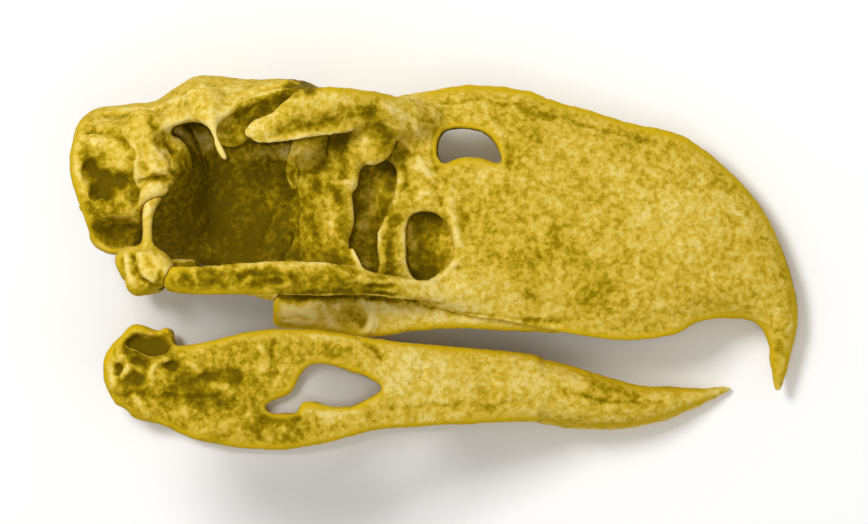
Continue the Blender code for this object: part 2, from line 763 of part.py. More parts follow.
def build():
    for obj in list(bpy.data.objects):
        bpy.data.objects.remove(obj)
    brain = cranium()
    bill = fitted(upper_bill(), brain)
    wall = fitted(septum(), brain, bill)
    plate = fitted(fused("ectethmoid", [blob(*ORBIT_PLATE)]), brain, bill, wall)
    brow = fitted(lacrimal(), brain, bill, plate)
    hinge = fitted(quadrate(), brain)
    jugal = fitted(fused("jugal_bar", [strap(JUGAL)], voxel=FINE_VOXEL), bill, hinge, brow)
    palatine = fitted(fused("palatine", [strap(PALATINE)], voxel=FINE_VOXEL), bill, wall)
    pterygoid = fitted(fused("pterygoid", [strap(PTERYGOID)], voxel=FINE_VOXEL), hinge, palatine, wall)
    skull = [brain, bill, wall]
    for bone in (plate, brow, hinge, jugal, palatine, pterygoid):
        skull += pair(bone)
    jaw = jaw_parts(lower_jaw())
    finish = bone_material()
    for bone in skull + jaw:
        bone.data.materials.clear()
        bone.data.materials.append(finish)
    lay_down(skull, jaw)
    file_away(skull + jaw)


build()
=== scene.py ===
"""Dresses a terror bird's skull and lower jaw: every bone in full detail, its aged finish, and the studio round it.

The bones are shaped as the skull stands, in millimetres: X runs forward from the back of the head, Y to the animal's
left and Z up from the jaw line. Each shape is written into a grid of distances, so that bones blend as they grow, and
the skin of that grid is then carved, laid on the ground and written in metres.
"""

from __future__ import annotations

import logging
import math
from dataclasses import dataclass
from enum import Enum
from typing import Any

import bpy
import numpy as np
import openvdb as vdb
from mathutils import Matrix, Vector


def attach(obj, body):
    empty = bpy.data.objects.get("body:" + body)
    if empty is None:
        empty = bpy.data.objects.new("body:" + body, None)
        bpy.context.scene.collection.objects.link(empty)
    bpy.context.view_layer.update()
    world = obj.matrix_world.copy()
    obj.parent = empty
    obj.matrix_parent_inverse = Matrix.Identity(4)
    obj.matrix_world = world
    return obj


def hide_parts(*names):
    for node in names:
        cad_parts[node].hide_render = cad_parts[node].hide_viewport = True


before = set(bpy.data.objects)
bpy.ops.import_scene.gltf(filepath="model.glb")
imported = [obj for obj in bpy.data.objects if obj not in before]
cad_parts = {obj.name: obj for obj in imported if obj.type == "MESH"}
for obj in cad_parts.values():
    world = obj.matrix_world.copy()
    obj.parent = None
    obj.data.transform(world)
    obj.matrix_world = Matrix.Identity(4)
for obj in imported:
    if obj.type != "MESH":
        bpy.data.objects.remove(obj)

log = logging.getLogger("terror_bird_skull")

Pair = tuple[float, float]
Row = tuple[float, ...]
Rows = tuple[Row, ...]
Lump = tuple[Row, Row]
Lumps = tuple[Lump, ...]

MM = 0.001
BODY = "root"
SIDES = {"left": 1.0, "right": -1.0}
REACH = 6.0  # how far from a surface distances are kept
FAR = 120.0  # past the skull on either side
INSIDE = 1.001  # keeps a reading between the last two points of a grid

# The skull's length, and its half widths over the brow, the eye openings, the cheeks, the jaw joints and the bill.
SKULL_LENGTH = 337.0
BROW = 53.0
ORBIT = 44.0
CHEEK = 58.0
JOINT = 50.0
BILL = 32.0


class Facing(Enum):
    """The way a face of a bone looks, as the axis it is seen along and the sign of its outward end."""

    SIDE = (1, 1)
    TOP = (2, 1)
    UNDER = (2, -1)
    BACK = (0, -1)

    @property
    def plane(self) -> list[int]:
        """The two axes across the line of sight."""
        return [axis for axis in range(3) if axis != self.value[0]]


@dataclass(frozen=True)
class Stroke:
    """One mark of the carving along a line: a ridge, groove or pit with a painted highlight or painted shade along it,
    or a paler or darker patch.

    Args:
        path: Points that the line runs through, in the two axes of the face it is on.
        width: How far from the line it fades, in millimetres.
        height: How far it stands out, or how deep it sinks if negative.
        tone: How much paler the bone is painted there, or darker if negative. It paints highlights on ridges and shade
            in grooves and pits, lightens some places that lie in shade, and marks paler and darker patches.
    """

    path: Rows
    width: float
    height: float
    tone: float


def drawn(*marks: Row) -> tuple[Stroke, ...]:
    """Reads a table of strokes.

    Args:
        marks: Rows of a stroke's width, height and tone and then its points, two numbers for each.

    Returns:
        The strokes.
    """
    return tuple(Stroke(tuple(zip(mark[3::2], mark[4::2])), *mark[:3]) for mark in marks)


@dataclass(frozen=True)
class Skin:
    """A closed surface of triangles, in millimetres."""

    points: np.ndarray
    triangles: np.ndarray


def smooth_rows(rows: Rows | np.ndarray, count: int, closed: bool = False) -> np.ndarray:
    """Reads rows off the smooth curve through the given ones.

    Args:
        rows: The rows that the curve passes.
        count: How many rows to read, at even steps of its length.
        closed: Whether the curve runs back to its start.

    Returns:
        The new rows.
    """
    known = np.array(rows, float)
    if closed:
        known = np.vstack([known[-1:], known, known[:2]])
    else:
        known = np.vstack([2 * known[0] - known[1], known, 2 * known[-1] - known[-2]])
    pieces = 24  # that each span is measured in
    t = np.linspace(0.0, 1.0, pieces, endpoint=False)[:, None]
    spans = [
        0.5
        * (
            2 * start
            + (end - before) * t
            + (2 * before - 5 * start + 4 * end - after) * t**2
            + (3 * start - 3 * end + after - before) * t**3
        )
        for before, start, end, after in zip(known, known[1:], known[2:], known[3:])
    ]
    fine = np.vstack(spans if closed else [*spans, known[-2:-1]])
    along = np.concatenate([[0.0], np.cumsum(np.linalg.norm(np.diff(fine, axis=0), axis=1))])
    wanted = np.linspace(0.0, along[-1], count)
    return np.stack([np.interp(wanted, along, column) for column in fine.T], axis=1)


def skin_of_rings(rings: np.ndarray) -> Skin:
    """Joins rings of points into a closed skin.

    Args:
        rings: Rings, points and coordinates, with as many points in each ring.

    Returns:
        The skin, with a fan of triangles over each end.
    """
    count, around = rings.shape[:2]
    points = np.vstack([rings.reshape(-1, 3), rings[0].mean(axis=0), rings[-1].mean(axis=0)])
    ring, step = np.meshgrid(np.arange(count - 1), np.arange(around), indexing="ij")
    near, far = ring * around, (ring + 1) * around
    turn = (step + 1) % around
    walls = np.stack([near + step, near + turn, far + turn, near + step, far + turn, far + step], axis=-1)
    step = np.arange(around)
    turn = (step + 1) % around
    last = (count - 1) * around
    caps = [
        np.stack([np.full(around, count * around), turn, step], axis=-1),
        np.stack([np.full(around, count * around + 1), last + step, last + turn], axis=-1),
    ]
    return Skin(points, np.vstack([walls.reshape(-1, 3), *caps]))


def full_turn(count: int) -> np.ndarray:
    """Angles at even steps round a circle."""
    return np.arange(count) * 2 * math.pi / count


def blunted(wave: np.ndarray, power: float) -> np.ndarray:
    """A wave from -1 to 1 with broader crests, the more so the lower the power is."""
    return np.sign(wave) * np.abs(wave) ** power


def blob(centre: Row, radii: Row) -> Skin:
    """An ellipsoid.

    Args:
        centre: Its middle.
        radii: Its three radii.

    Returns:
        Its skin.
    """
    pole, levels = 0.99, 31
    level = np.linspace(-pole, pole, levels) * math.pi / 2
    turn = full_turn(48)
    ring = np.stack([np.cos(turn), np.sin(turn)], axis=-1)
    unit = [np.column_stack([math.cos(a) * ring, np.full(len(ring), math.sin(a))]) for a in level]
    return skin_of_rings(np.array(unit) * radii + centre)


def strap(rows: Rows, flat: str = "Z") -> Skin:
    """A bar of elliptical section with rounded ends.

    Args:
        rows: Rows of x, y, z, half height and half thickness.
        flat: The axis that the height stands along, as nearly as the bar's direction allows.

    Returns:
        Its skin.
    """
    fine = smooth_rows(rows, 10 * len(rows))
    way = np.gradient(fine[:, :3], axis=0)
    way /= np.linalg.norm(way, axis=1)[:, None]
    ends = [(-0.78, 0.35), (-0.65, 0.66), (-0.35, 0.9)]  # how far out each ring of an end stands, and its size
    ring_rows = [(0, shift, scale) for shift, scale in ends]
    ring_rows += [(i, 0.0, 1.0) for i in range(len(fine))]
    ring_rows += [(len(fine) - 1, -shift, scale) for shift, scale in ends[::-1]]
    up = np.array({"X": (1, 0, 0), "Z": (0, 0, 1)}[flat], float)
    turns = full_turn(32)[:, None]
    rings = []
    for i, shift, scale in ring_rows:
        height = up - way[i] * (up @ way[i])
        height /= np.linalg.norm(height)
        across = np.cross(way[i], height)
        middle = fine[i, :3] + way[i] * shift * min(fine[i, 3], fine[i, 4])
        around = fine[i, 3] * np.cos(turns) * height + fine[i, 4] * np.sin(turns) * across
        rings.append(middle + scale * around)
    return skin_of_rings(np.array(rings))


def blade(rows: Rows, stations: int) -> Skin:
    """A bar that stands on edge, with flat flanks and blunt edges.

    Args:
        rows: Rows of x, y, top z, bottom z and half thickness.
        stations: How many sections it has.

    Returns:
        Its skin.
    """
    turns = full_turn(40)
    swell = blunted(np.sin(turns), power=0.4)
    rings = []
    for x, y, top, bottom, thick in smooth_rows(rows, stations):
        level = (top + bottom) / 2 + (top - bottom) / 2 * np.cos(turns)
        rings.append(np.column_stack([np.full(len(turns), x), y + thick * swell, level]))
    return skin_of_rings(np.array(rings))


def prism(outline: Rows, inner: float, outer: float) -> Skin:
    """The filled smooth closed line through outline, drawn out sideways.

    Args:
        outline: Points (x, z) of the line.
        inner: The y that it starts at.
        outer: The y that it ends at.

    Returns:
        Its skin.
    """
    points = 120
    line = smooth_rows(outline, points + 1, closed=True)[:-1]
    rings = [np.column_stack([line[:, 0], np.full(points, y), line[:, 1]]) for y in (inner, outer)]
    return skin_of_rings(np.array(rings))


def boxed(values: np.ndarray, reach: int) -> np.ndarray:
    """Smooths values on a grid with three passes of a running mean along each axis.

    Args:
        values: The grid.
        reach: How many cells the mean takes in on each side.

    Returns:
        The smoothed grid.
    """
    if reach < 1:
        return values
    for axis in range(values.ndim):
        for _ in range(3):
            pads = [(0, 0)] * values.ndim
            pads[axis] = (reach + 1, reach)
            sums = np.cumsum(np.pad(values, pads, mode="edge"), axis=axis, dtype=np.float64)
            span = 2 * reach + 1
            high = np.take(sums, np.arange(span, sums.shape[axis]), axis=axis)
            low = np.take(sums, np.arange(sums.shape[axis] - span), axis=axis)
            values = ((high - low) / span).astype(np.float32)
    return values


def read_off(values: np.ndarray, places: np.ndarray) -> np.ndarray:
    """Reads a grid between its points.

    Args:
        values: The grid, of any number of axes.
        places: One row for each reading, in cells.

    Returns:
        The readings.
    """
    places = np.clip(places, 0.0, np.array(values.shape) - INSIDE)
    whole = places.astype(int)
    part = places - whole
    total = np.zeros(len(places), np.float32)
    for corner in np.ndindex(*(2,) * values.ndim):
        weight = np.prod(np.where(corner, part, 1.0 - part), axis=1)
        total += weight * values[tuple((whole + corner).T)]
    return total


def eased(value: np.ndarray, low: float, high: float) -> np.ndarray:
    """A smooth step of value from 0 at low to 1 at high."""
    t = np.clip((value - low) / (high - low), 0.0, 1.0)
    return t * t * (3.0 - 2.0 * t)


class Grain:
    """Smooth random unevenness in space, the same on every run.

    Args:
        seed: Which of the random patterns it is.
    """

    CELLS = 48

    def __init__(self, seed: int) -> None:
        """Draws the pattern."""
        random = np.random.default_rng(seed)
        self.table = random.uniform(-1.0, 1.0, (self.CELLS,) * 3).astype(np.float32)

    def at(self, points: np.ndarray, size: float | Row) -> np.ndarray:
        """Reads the pattern.

        Args:
            points: Where, in millimetres.
            size: How long its waves are, in millimetres, in all or each direction.

        Returns:
            Values from -1 to 1.
        """
        cells = points / np.array(size)
        whole = np.floor(cells).astype(int)
        part = eased(cells - whole, 0.0, 1.0)
        total = np.zeros(len(points))
        for corner in np.ndindex(2, 2, 2):
            weight = np.prod(np.where(corner, part, 1.0 - part), axis=1)
            total += weight * self.table[tuple(((whole + corner) % self.CELLS).T)]
        return total


class BoneField:
    """Distances from a bone's surface, negative inside, on a grid.

    Args:
        low: The grid's lowest corner, in millimetres.
        high: Its highest corner.
        cell: The size of its cells.
        even: Whether the bone is the same on both sides of the midline, so that only its left half is kept.
    """

    def __init__(self, low: Row, high: Row, cell: float, even: bool) -> None:
        """Makes an empty grid."""
        self.cell = cell
        self.even = even
        self.start = np.floor(np.array(low) / cell).astype(int)
        if even:
            self.start[1] = 0
        self.stop = np.ceil(np.array(high) / cell).astype(int)
        self.values = np.full(self.stop - self.start + 1, REACH, np.float32)

    def _room(self, low: np.ndarray, high: np.ndarray) -> tuple[slice, ...]:
        """The part of the grid between two corners."""
        return tuple(slice(a, b + 1) for a, b in zip(low - self.start, high - self.start))

    def _distances(self, skin: Skin) -> tuple[tuple[slice, ...], np.ndarray]:
        """Measures the grid's points near a skin.

        Args:
            skin: The skin.

        Returns:
            The part of the grid that the skin can reach, and the distances there.
        """
        margin = math.ceil(REACH / self.cell) + 1
        low = np.maximum(np.floor(skin.points.min(axis=0) / self.cell).astype(int) - margin, self.start)
        high = np.minimum(np.ceil(skin.points.max(axis=0) / self.cell).astype(int) + margin, self.stop)
        grid = vdb.FloatGrid.createLevelSetFromPolygons(
            skin.points.astype(np.float32),
            triangles=skin.triangles.astype(np.uint32),
            transform=vdb.createLinearTransform(voxelSize=self.cell),
            halfWidth=REACH / self.cell,
        )
        part = np.empty(high - low + 1, np.float32)
        grid.copyToArray(part, ijk=tuple(int(i) for i in low))
        return self._room(low, high), np.clip(part, -REACH, REACH)

    def add(self, skin: Skin, blend: float = 4.0) -> None:
        """Grows the bone by a skin.

        Args:
            skin: What is added.
            blend: How wide the fillet between the two is.
        """
        room, new = self._distances(skin)
        old = self.values[room]
        overlap = np.clip(blend - np.abs(old - new), 0.0, None) / blend
        near = np.maximum(old, new) < REACH
        self.values[room] = np.clip(np.minimum(old, new) - near * overlap**2 * blend / 4, -REACH, REACH)

    def cut(self, skin: Skin, blend: float = 1.5) -> None:
        """Takes a skin out of the bone.

        Args:
            skin: What is taken.
            blend: How rounded the rim is.
        """
        room, new = self._distances(skin)
        old, new = self.values[room], -new
        overlap = np.clip(blend - np.abs(old - new), 0.0, None) / blend
        near = np.minimum(old, new) > -REACH
        self.values[room] = np.clip(np.maximum(old, new) + near * overlap**2 * blend / 4, -REACH, REACH)

    def keep_clear_of(self, other: BoneField, gap: float) -> None:
        """Trims the bone where it would run into another.

        Args:
            other: The other bone, whose grid has cells of the same size.
            gap: The room that is left between them.
        """
        low = np.maximum(self.start, other.start)
        high = np.minimum(self.stop, other.stop)
        mine = self._room(low, high)
        self.values[mine] = np.maximum(self.values[mine], gap - other.values[other._room(low, high)])

    def soften(self) -> None:
        """Takes the sharpest corners off the bone."""
        self.values = boxed(self.values, reach=1)

    def whole(self) -> tuple[np.ndarray, np.ndarray]:
        """Both halves of the grid.

        Returns:
            The distances, and the index of the grid's first point.
        """
        if not self.even:
            return self.values, self.start
        start = self.start.copy()
        start[1] = -self.stop[1]
        return np.concatenate([self.values[:, :0:-1], self.values], axis=1), start


def outermost(bone: BoneField, facing: Facing) -> tuple[np.ndarray, np.ndarray]:
    """Maps how far out a bone's outermost surface lies, seen from one side.

    Args:
        bone: The bone.
        facing: The side. An even bone is seen from its left.

    Returns:
        The map, in millimetres along the line of sight, and the index of its first cell.
    """
    axis, sign = facing.value
    values, start = bone.whole()
    solid = values < 0.0
    level = start[axis]
    if axis == 1 and bone.even:
        solid, level = solid[:, -start[1] :], 0
    first = np.argmax(np.flip(solid, axis=axis) if sign > 0 else solid, axis=axis)
    if sign > 0:
        first = solid.shape[axis] - 1 - first
    empty = ~solid.any(axis=axis)
    surface = np.where(empty, -sign * FAR, (first + level) * bone.cell).astype(np.float32)
    return surface, np.delete(start, axis)


def behind_surface(bone: BoneField, facing: Facing, points: np.ndarray) -> np.ndarray:
    """Measures how far points lie behind a bone's outermost surface, seen from one side.

    Args:
        bone: The bone.
        facing: The side.
        points: The points.

    Returns:
        The distances, in millimetres.
    """
    axis, sign = facing.value
    surface, start = outermost(bone, facing)
    along = np.abs(points[:, 1]) if axis == 1 else points[:, axis]
    return sign * (read_off(surface, points[:, facing.plane] / bone.cell - start) - along)


def filled_over(surface: np.ndarray, reach: int) -> np.ndarray:
    """Fills the hollows of a height map that a disc can't get into.

    Args:
        surface: The map.
        reach: The disc's radius, in cells.

    Returns:
        The map with its hollows filled.
    """
    steps = [
        (i, j)
        for i in range(-reach, reach + 1)
        for j in range(-reach, reach + 1)
        if i * i + j * j <= reach * reach
    ]
    wide, tall = surface.shape
    for best, worst in ((np.maximum, surface.min()), (np.minimum, surface.max())):
        padded = np.pad(surface, reach, constant_values=worst)
        result = surface.copy()
        for i, j in steps:
            result = best(result, padded[reach + i : reach + i + wide, reach + j : reach + j + tall])
        surface = result
    return surface


class Relief:
    """The strokes of one face of a bone, drawn on a map.

    Args:
        facing: Which face it is.
        strokes: The strokes.
    """

    CELL = 0.5
    SOFTEST = 2.6  # widths at which a stroke has faded out
    STEP = 0.6  # how far apart the points lie that a line is drawn with, in millimetres
    WANDER = 1.3  # how far strokes stray from their lines, in millimetres
    WANDER_SIZE = 5.0
    UNEVEN = 0.45  # how much strokes strengthen and weaken along their lines
    UNEVEN_SIZE = 4.0
    SEED = 71
    FACING = (0.1, 0.55)  # how far a surface faces this way where strokes set in, and where they are in full
    BEHIND = (4.0, 7.0)  # how far behind the outermost surface they start to fade and end, in millimetres

    def __init__(self, facing: Facing, strokes: tuple[Stroke, ...]) -> None:
        """Draws the strokes."""
        self.facing = facing
        marks = np.vstack([np.array(stroke.path, float) for stroke in strokes])
        margin = self.SOFTEST * max(stroke.width for stroke in strokes) + 1.0
        self.low = marks.min(axis=0) - margin
        size = np.ceil((marks.max(axis=0) + margin - self.low) / self.CELL).astype(int) + 1
        self.height = np.zeros(size, np.float32)
        self.tone = np.zeros(size, np.float32)
        for stroke in strokes:
            self._draw(stroke)

    def _draw(self, stroke: Stroke) -> None:
        """Adds one stroke to the map.

        Args:
            stroke: The stroke.
        """
        path = np.array(stroke.path, float)
        if len(path) > 1:
            length = np.linalg.norm(np.diff(path, axis=0), axis=1).sum()
            path = smooth_rows(path, max(2, int(length / self.STEP)))
        reach = self.SOFTEST * stroke.width
        low = np.floor((path.min(axis=0) - reach - self.low) / self.CELL).astype(int)
        high = np.ceil((path.max(axis=0) + reach - self.low) / self.CELL).astype(int)
        low, high = np.maximum(low, 0), np.minimum(high, np.array(self.height.shape) - 1)
        u = self.low[0] + np.arange(low[0], high[0] + 1) * self.CELL
        v = self.low[1] + np.arange(low[1], high[1] + 1) * self.CELL
        away = np.full((len(u), len(v)), 1e9)
        for point in path:
            away = np.minimum(away, (u - point[0])[:, None] ** 2 + (v - point[1])[None, :] ** 2)
        shape = np.exp(-away / stroke.width**2)
        room = (slice(low[0], high[0] + 1), slice(low[1], high[1] + 1))
        self.height[room] += stroke.height * shape
        self.tone[room] += stroke.tone * shape

    def on(self, bone: BoneField, points: np.ndarray, normals: np.ndarray) -> tuple[np.ndarray, np.ndarray]:
        """Reads the map for the points of a bone that it covers.

        Args:
            bone: The bone, for which of its surfaces is outermost.
            points: The bone's points.
            normals: Their outward directions.

        Returns:
            How far each point moves out, and how much paler it is painted, which holds painted highlights and shade as
            well as paler and darker patches.
        """
        axis, sign = self.facing.value
        depth = behind_surface(bone, self.facing, points)
        outward = normals[:, axis] * (np.sign(points[:, 1]) if axis == 1 else sign)
        weight = eased(outward, *self.FACING) * (1.0 - eased(depth, *self.BEHIND))
        spots = points[:, self.facing.plane].copy()
        for column, across in enumerate(self.facing.plane):
            if across == 1:
                spots[:, column] = np.abs(spots[:, column])
            spots[:, column] += self.WANDER * Grain(self.SEED + column).at(points, self.WANDER_SIZE)
        spots = (spots - self.low) / self.CELL
        inside = np.all((spots >= 0) & (spots <= np.array(self.height.shape) - INSIDE), axis=1)
        weight = weight * inside * (1.0 + self.UNEVEN * Grain(self.SEED + 2).at(points, self.UNEVEN_SIZE))
        return read_off(self.height, spots) * weight, read_off(self.tone, spots) * weight


@dataclass(frozen=True)
class Weathering:
    """How uneven a bone's surface is: lengths and heights of its waves, and from where to where its pits sink in."""

    swell: Pair = (14, 0.35)
    lumps: Pair = (5, 0.24)
    rough: Pair = (2.4, 0.16)
    pits: Pair = (3.4, 0.7)
    pit_share: Pair = (0.62, 1.1)

    def heights(self, points: np.ndarray, seed: int) -> np.ndarray:
        """Works out how far each point is moved.

        Args:
            points: The bone's points.
            seed: Which of the random patterns it is.

        Returns:
            The distance along each point's normal.
        """
        total = np.zeros(len(points))
        for step, (size, height) in enumerate((self.swell, self.lumps, self.rough)):
            total += height * Grain(seed + step).at(points, size)
        size, depth = self.pits
        grain = Grain(seed + 3).at(points, size) + 0.5 * Grain(seed + 4).at(points, size / 2)
        return total - depth * eased(grain, *self.pit_share)


@dataclass
class Sculpture:
    """A bone ready to be carved and laid down.

    Args:
        name: The piece's name.
        bone: Its distances.
        reliefs: The strokes on its faces.
        weathering: Its unevenness.
        seed: Which of the random patterns it has.
        side: -1 where the bone is turned into its fellow on the animal's right.
        outline_shading: How strongly its outline is painted with edge shade, a deeper ochre along it.
    """

    # How far round a point the surroundings count, and how far in front of it they are read, in millimetres. The
    # material paints highlight on crests and shade in creases by edge, and shade in hollows by near and deep.
    SURROUNDINGS = {"edge": (1.6, 0.0), "near": (6.0, 5.0), "deep": (13.0, 12.0)}
    BACKING = (1.6, 2.0)  # the same, for the bone behind the point
    BACKED = (0.3, 0.8)  # the share of it at which a surface starts to move, and moves in full
    FURTHEST = 2.5  # how far a surface moves at most, in millimetres

    WIDEST = 33.0  # the radius of the widest hollow that counts, in millimetres
    SUNK = (2.0, 15.0)  # the depths at which painted shade in a hollow starts, and is in full
    THINNED = 3  # how many of the grid's cells one cell of the map of hollows is wide
    TURNED = (0.1, 0.5)  # how far a surface has to face up or back to be seen from there
    UNCOVERED = 1.5  # how far behind the outermost surface a point is still bare, in millimetres
    STEEPNESS = 3.0  # how fast it counts as sunk behind that
    DOWNWARD = (0.45, 0.8)  # how far a surface has to face down to be part of the underside
    VAULT_LEVEL = 10.0  # the height above which it is no part of it
    NAPE_FADE = (42, 50)  # from where to where a surface that faces back stops being part of the nape

    RIM = 2.2  # how far in from the outline of the flank, as seen from the side, the painted edge shade fades, in millimetres
    RIM_SHARE = (0.6, 0.97)  # the share of bone round a point at the outline, and well inside
    PLATE_SHARE = (0.2, 0.42)  # the same three times as far round it, at a thin bar and at a plate
    RIM_TURNED = (0.1, 0.45)  # how far a surface has to face sideways to carry the painted edge shade

    name: str
    bone: BoneField
    reliefs: tuple[Relief, ...] = ()
    weathering: Weathering = Weathering()
    seed: int = 1
    side: float = 1.0
    outline_shading: float = 1.0

    def skin(self) -> tuple[np.ndarray, np.ndarray]:
        """Draws the bone's surface.

        Returns:
            Its points in millimetres, and its faces of four points.
        """
        values, start = self.bone.whole()
        grid = vdb.FloatGrid(REACH)
        grid.copyFromArray(np.ascontiguousarray(values), ijk=tuple(int(i) for i in start))
        grid.transform = vdb.createLinearTransform(voxelSize=self.bone.cell)
        grid.gridClass = vdb.GridClass.LEVEL_SET
        points, quads = grid.convertToQuads(isovalue=0.0)
        return largest_part(np.array(points, float), np.array(quads, np.int64)[:, ::-1])

    def hollowness(self, points: np.ndarray, normals: np.ndarray, reach: float, off: float) -> np.ndarray:
        """Finds how shut in each point is.

        Args:
            points: The bone's points.
            normals: Their outward directions.
            reach: How far round a point its surroundings count.
            off: How far in front of the point the surroundings are read.

        Returns:
            The share of its surroundings that is bone.
        """
        values, start = self.bone.whole()
        cells_in_reach, room = 3.0, 1.5  # cells of the thinned grid to a reach, and the room round it, in reaches
        thin = max(1, round(reach / (cells_in_reach * self.bone.cell)))
        cell = self.bone.cell * thin
        solid = np.clip(0.5 - values[::thin, ::thin, ::thin] / self.bone.cell, 0.0, 1.0)
        shift = max(1, round(room * reach / cell))
        mean = boxed(np.pad(solid, shift), max(1, round(reach / cell)))
        return read_off(mean, (points + normals * off) / cell - start / thin + shift)

    def depth(self, points: np.ndarray, normals: np.ndarray) -> np.ndarray:
        """Finds how far each point lies sunk in from every side that it could be seen from, which sets how much shade
        is painted on it.

        Args:
            points: The bone's points.
            normals: Their outward directions.

        Returns:
            The depth, in millimetres.
        """
        surface, start = outermost(self.bone, Facing.SIDE)
        coarse = np.maximum(surface[:: self.THINNED, :: self.THINNED], 0.0)
        filled = filled_over(coarse, round(self.WIDEST / (self.THINNED * self.bone.cell)))
        cells = (points[:, Facing.SIDE.plane] / self.bone.cell - start) / self.THINNED
        depth = read_off(filled, cells) - np.abs(points[:, 1])
        for facing in (Facing.TOP, Facing.BACK):
            axis, sign = facing.value
            behind = np.maximum(behind_surface(self.bone, facing, points) - self.UNCOVERED, 0.0)
            turned_away = 1.0 - eased(sign * normals[:, axis], *self.TURNED)
            if facing is Facing.BACK:
                turned_away = turned_away + eased(points[:, 0], *self.NAPE_FADE)
            depth = np.minimum(depth, behind * self.STEEPNESS + turned_away * FAR)
        underside = eased(-normals[:, 2], *self.DOWNWARD) * (points[:, 2] < self.VAULT_LEVEL)
        return np.maximum(depth, 0.0) * (1.0 - underside)

    def margin(self, points: np.ndarray, normals: np.ndarray) -> np.ndarray:
        """Finds how near each point is to the outline of the bone's flank as seen from the side, where edge shade is
        painted.

        Args:
            points: The bone's points.
            normals: Their outward directions.

        Returns:
            Values from 0 well inside to 1 at the outline.
        """
        surface, start = outermost(self.bone, Facing.SIDE)
        solid = (surface > -FAR).astype(np.float32)
        cells = points[:, Facing.SIDE.plane] / self.bone.cell - start
        close, wide = (
            read_off(boxed(solid, round(times * self.RIM / self.bone.cell)), cells) for times in (1.0, 3.0)
        )
        turned_out = eased(np.abs(normals[:, 1]), *self.RIM_TURNED)
        return (1.0 - eased(close, *self.RIM_SHARE)) * eased(wide, *self.PLATE_SHARE) * turned_out

    def make(self, rest: Matrix, finish: bpy.types.Material, replaced: tuple[str, ...]) -> bpy.types.Object:
        """Carves the bone, lays it down and puts it in the scene.

        Args:
            rest: Where it lies, as the turn and place of its resting bone.
            finish: Its material.
            replaced: The nodes that it stands for.

        Returns:
            The piece.
        """
        points, quads = self.skin()
        piece = new_piece(self.name, points, quads)
        normals = np.empty(len(points) * 3, np.float32)
        piece.data.vertex_normals.foreach_get("vector", normals)
        normals = normals.reshape(-1, 3)
        painted = {"tone": np.zeros(len(points))}
        # edge, near and deep measure the bone round each point, for painted highlights on crests and painted shade in
        # creases and hollows.
        for name, (reach, off) in self.SURROUNDINGS.items():
            painted[name] = self.hollowness(points, normals, reach, off)
        # Painted shade: the deeper a point lies sunk in a hollow, the darker it is painted.
        painted["sunk"] = eased(self.depth(points, normals), *self.SUNK)
        # Painted edge shade: a deeper ochre along the outline of the flank as seen from the side.
        painted["margin"] = self.margin(points, normals) * self.outline_shading
        move = self.weathering.heights(points, self.seed)
        # The strokes' tones paint highlights on ridges, shade in grooves, pits and hollows, light into some places
        # that lie in shade, and paler and darker patches.
        for relief in self.reliefs:
            height, shade = relief.on(self.bone, points, normals)
            move += height
            painted["tone"] += shade
        backing = eased(self.hollowness(points, -normals, *self.BACKING), *self.BACKED)
        move = np.clip(move, -self.FURTHEST, self.FURTHEST)
        points = points + normals * move[:, None] * backing[:, None]
        points[:, 1] *= self.side
        if self.side < 0:
            quads = quads[:, ::-1]
            piece.data.loops.foreach_set("vertex_index", quads.ravel().astype(np.int32))
        turn = np.array(rest)
        laid = points * MM @ turn[:3, :3].T + turn[:3, 3]
        laid[:, 2] = np.maximum(laid[:, 2], 0.0)
        piece.data.vertices.foreach_set("co", laid.astype(np.float32).ravel())
        piece.data.update()
        for name, values in painted.items():
            layer = piece.data.attributes.new(name, "FLOAT", "POINT")
            layer.data.foreach_set("value", np.asarray(values, np.float32))
        piece.data.materials.append(finish)
        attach(piece, BODY)
        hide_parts(*replaced)
        log.info("%s: %d faces, stands for %s", piece.name, len(quads), ", ".join(replaced))
        return piece


def largest_part(points: np.ndarray, quads: np.ndarray) -> tuple[np.ndarray, np.ndarray]:
    """Keeps the largest of the parts that a skin falls into.

    Args:
        points: Its points.
        quads: Its faces.

    Returns:
        The points and faces that are kept.
    """
    label = np.arange(len(points))
    pairs = np.vstack([quads[:, [i, (i + 1) % 4]] for i in range(4)])
    while True:
        low = np.minimum(label[pairs[:, 0]], label[pairs[:, 1]])
        new = label.copy()
        np.minimum.at(new, pairs[:, 0], low)
        np.minimum.at(new, pairs[:, 1], low)
        new = new[new]
        if np.array_equal(new, label):
            break
        label = new
    names, counts = np.unique(label, return_counts=True)
    kept = label == names[np.argmax(counts)]
    number = np.cumsum(kept) - 1
    return points[kept], number[quads[kept[quads[:, 0]]]]


def in_scene(name: str, data: bpy.types.ID) -> bpy.types.Object:
    """Puts an object in the scene.

    Args:
        name: Its name.
        data: The mesh, light or camera that it shows.

    Returns:
        The object.
    """
    made = bpy.data.objects.new(name, data)
    bpy.context.scene.collection.objects.link(made)
    return made


def new_piece(name: str, points: np.ndarray, quads: np.ndarray) -> bpy.types.Object:
    """Puts a smooth mesh of four-sided faces in the scene.

    Args:
        name: The object's name.
        points: Its points.
        quads: Its faces.

    Returns:
        The object.
    """
    mesh = bpy.data.meshes.new(name)
    mesh.vertices.add(len(points))
    mesh.vertices.foreach_set("co", points.astype(np.float32).ravel())
    mesh.loops.add(quads.size)
    mesh.loops.foreach_set("vertex_index", quads.astype(np.int32).ravel())
    mesh.polygons.add(len(quads))
    mesh.polygons.foreach_set("loop_start", np.arange(0, quads.size, 4, dtype=np.int32))
    mesh.polygons.foreach_set("use_smooth", np.ones(len(quads), bool))
    mesh.update(calc_edges=True)
    return in_scene(name, mesh)


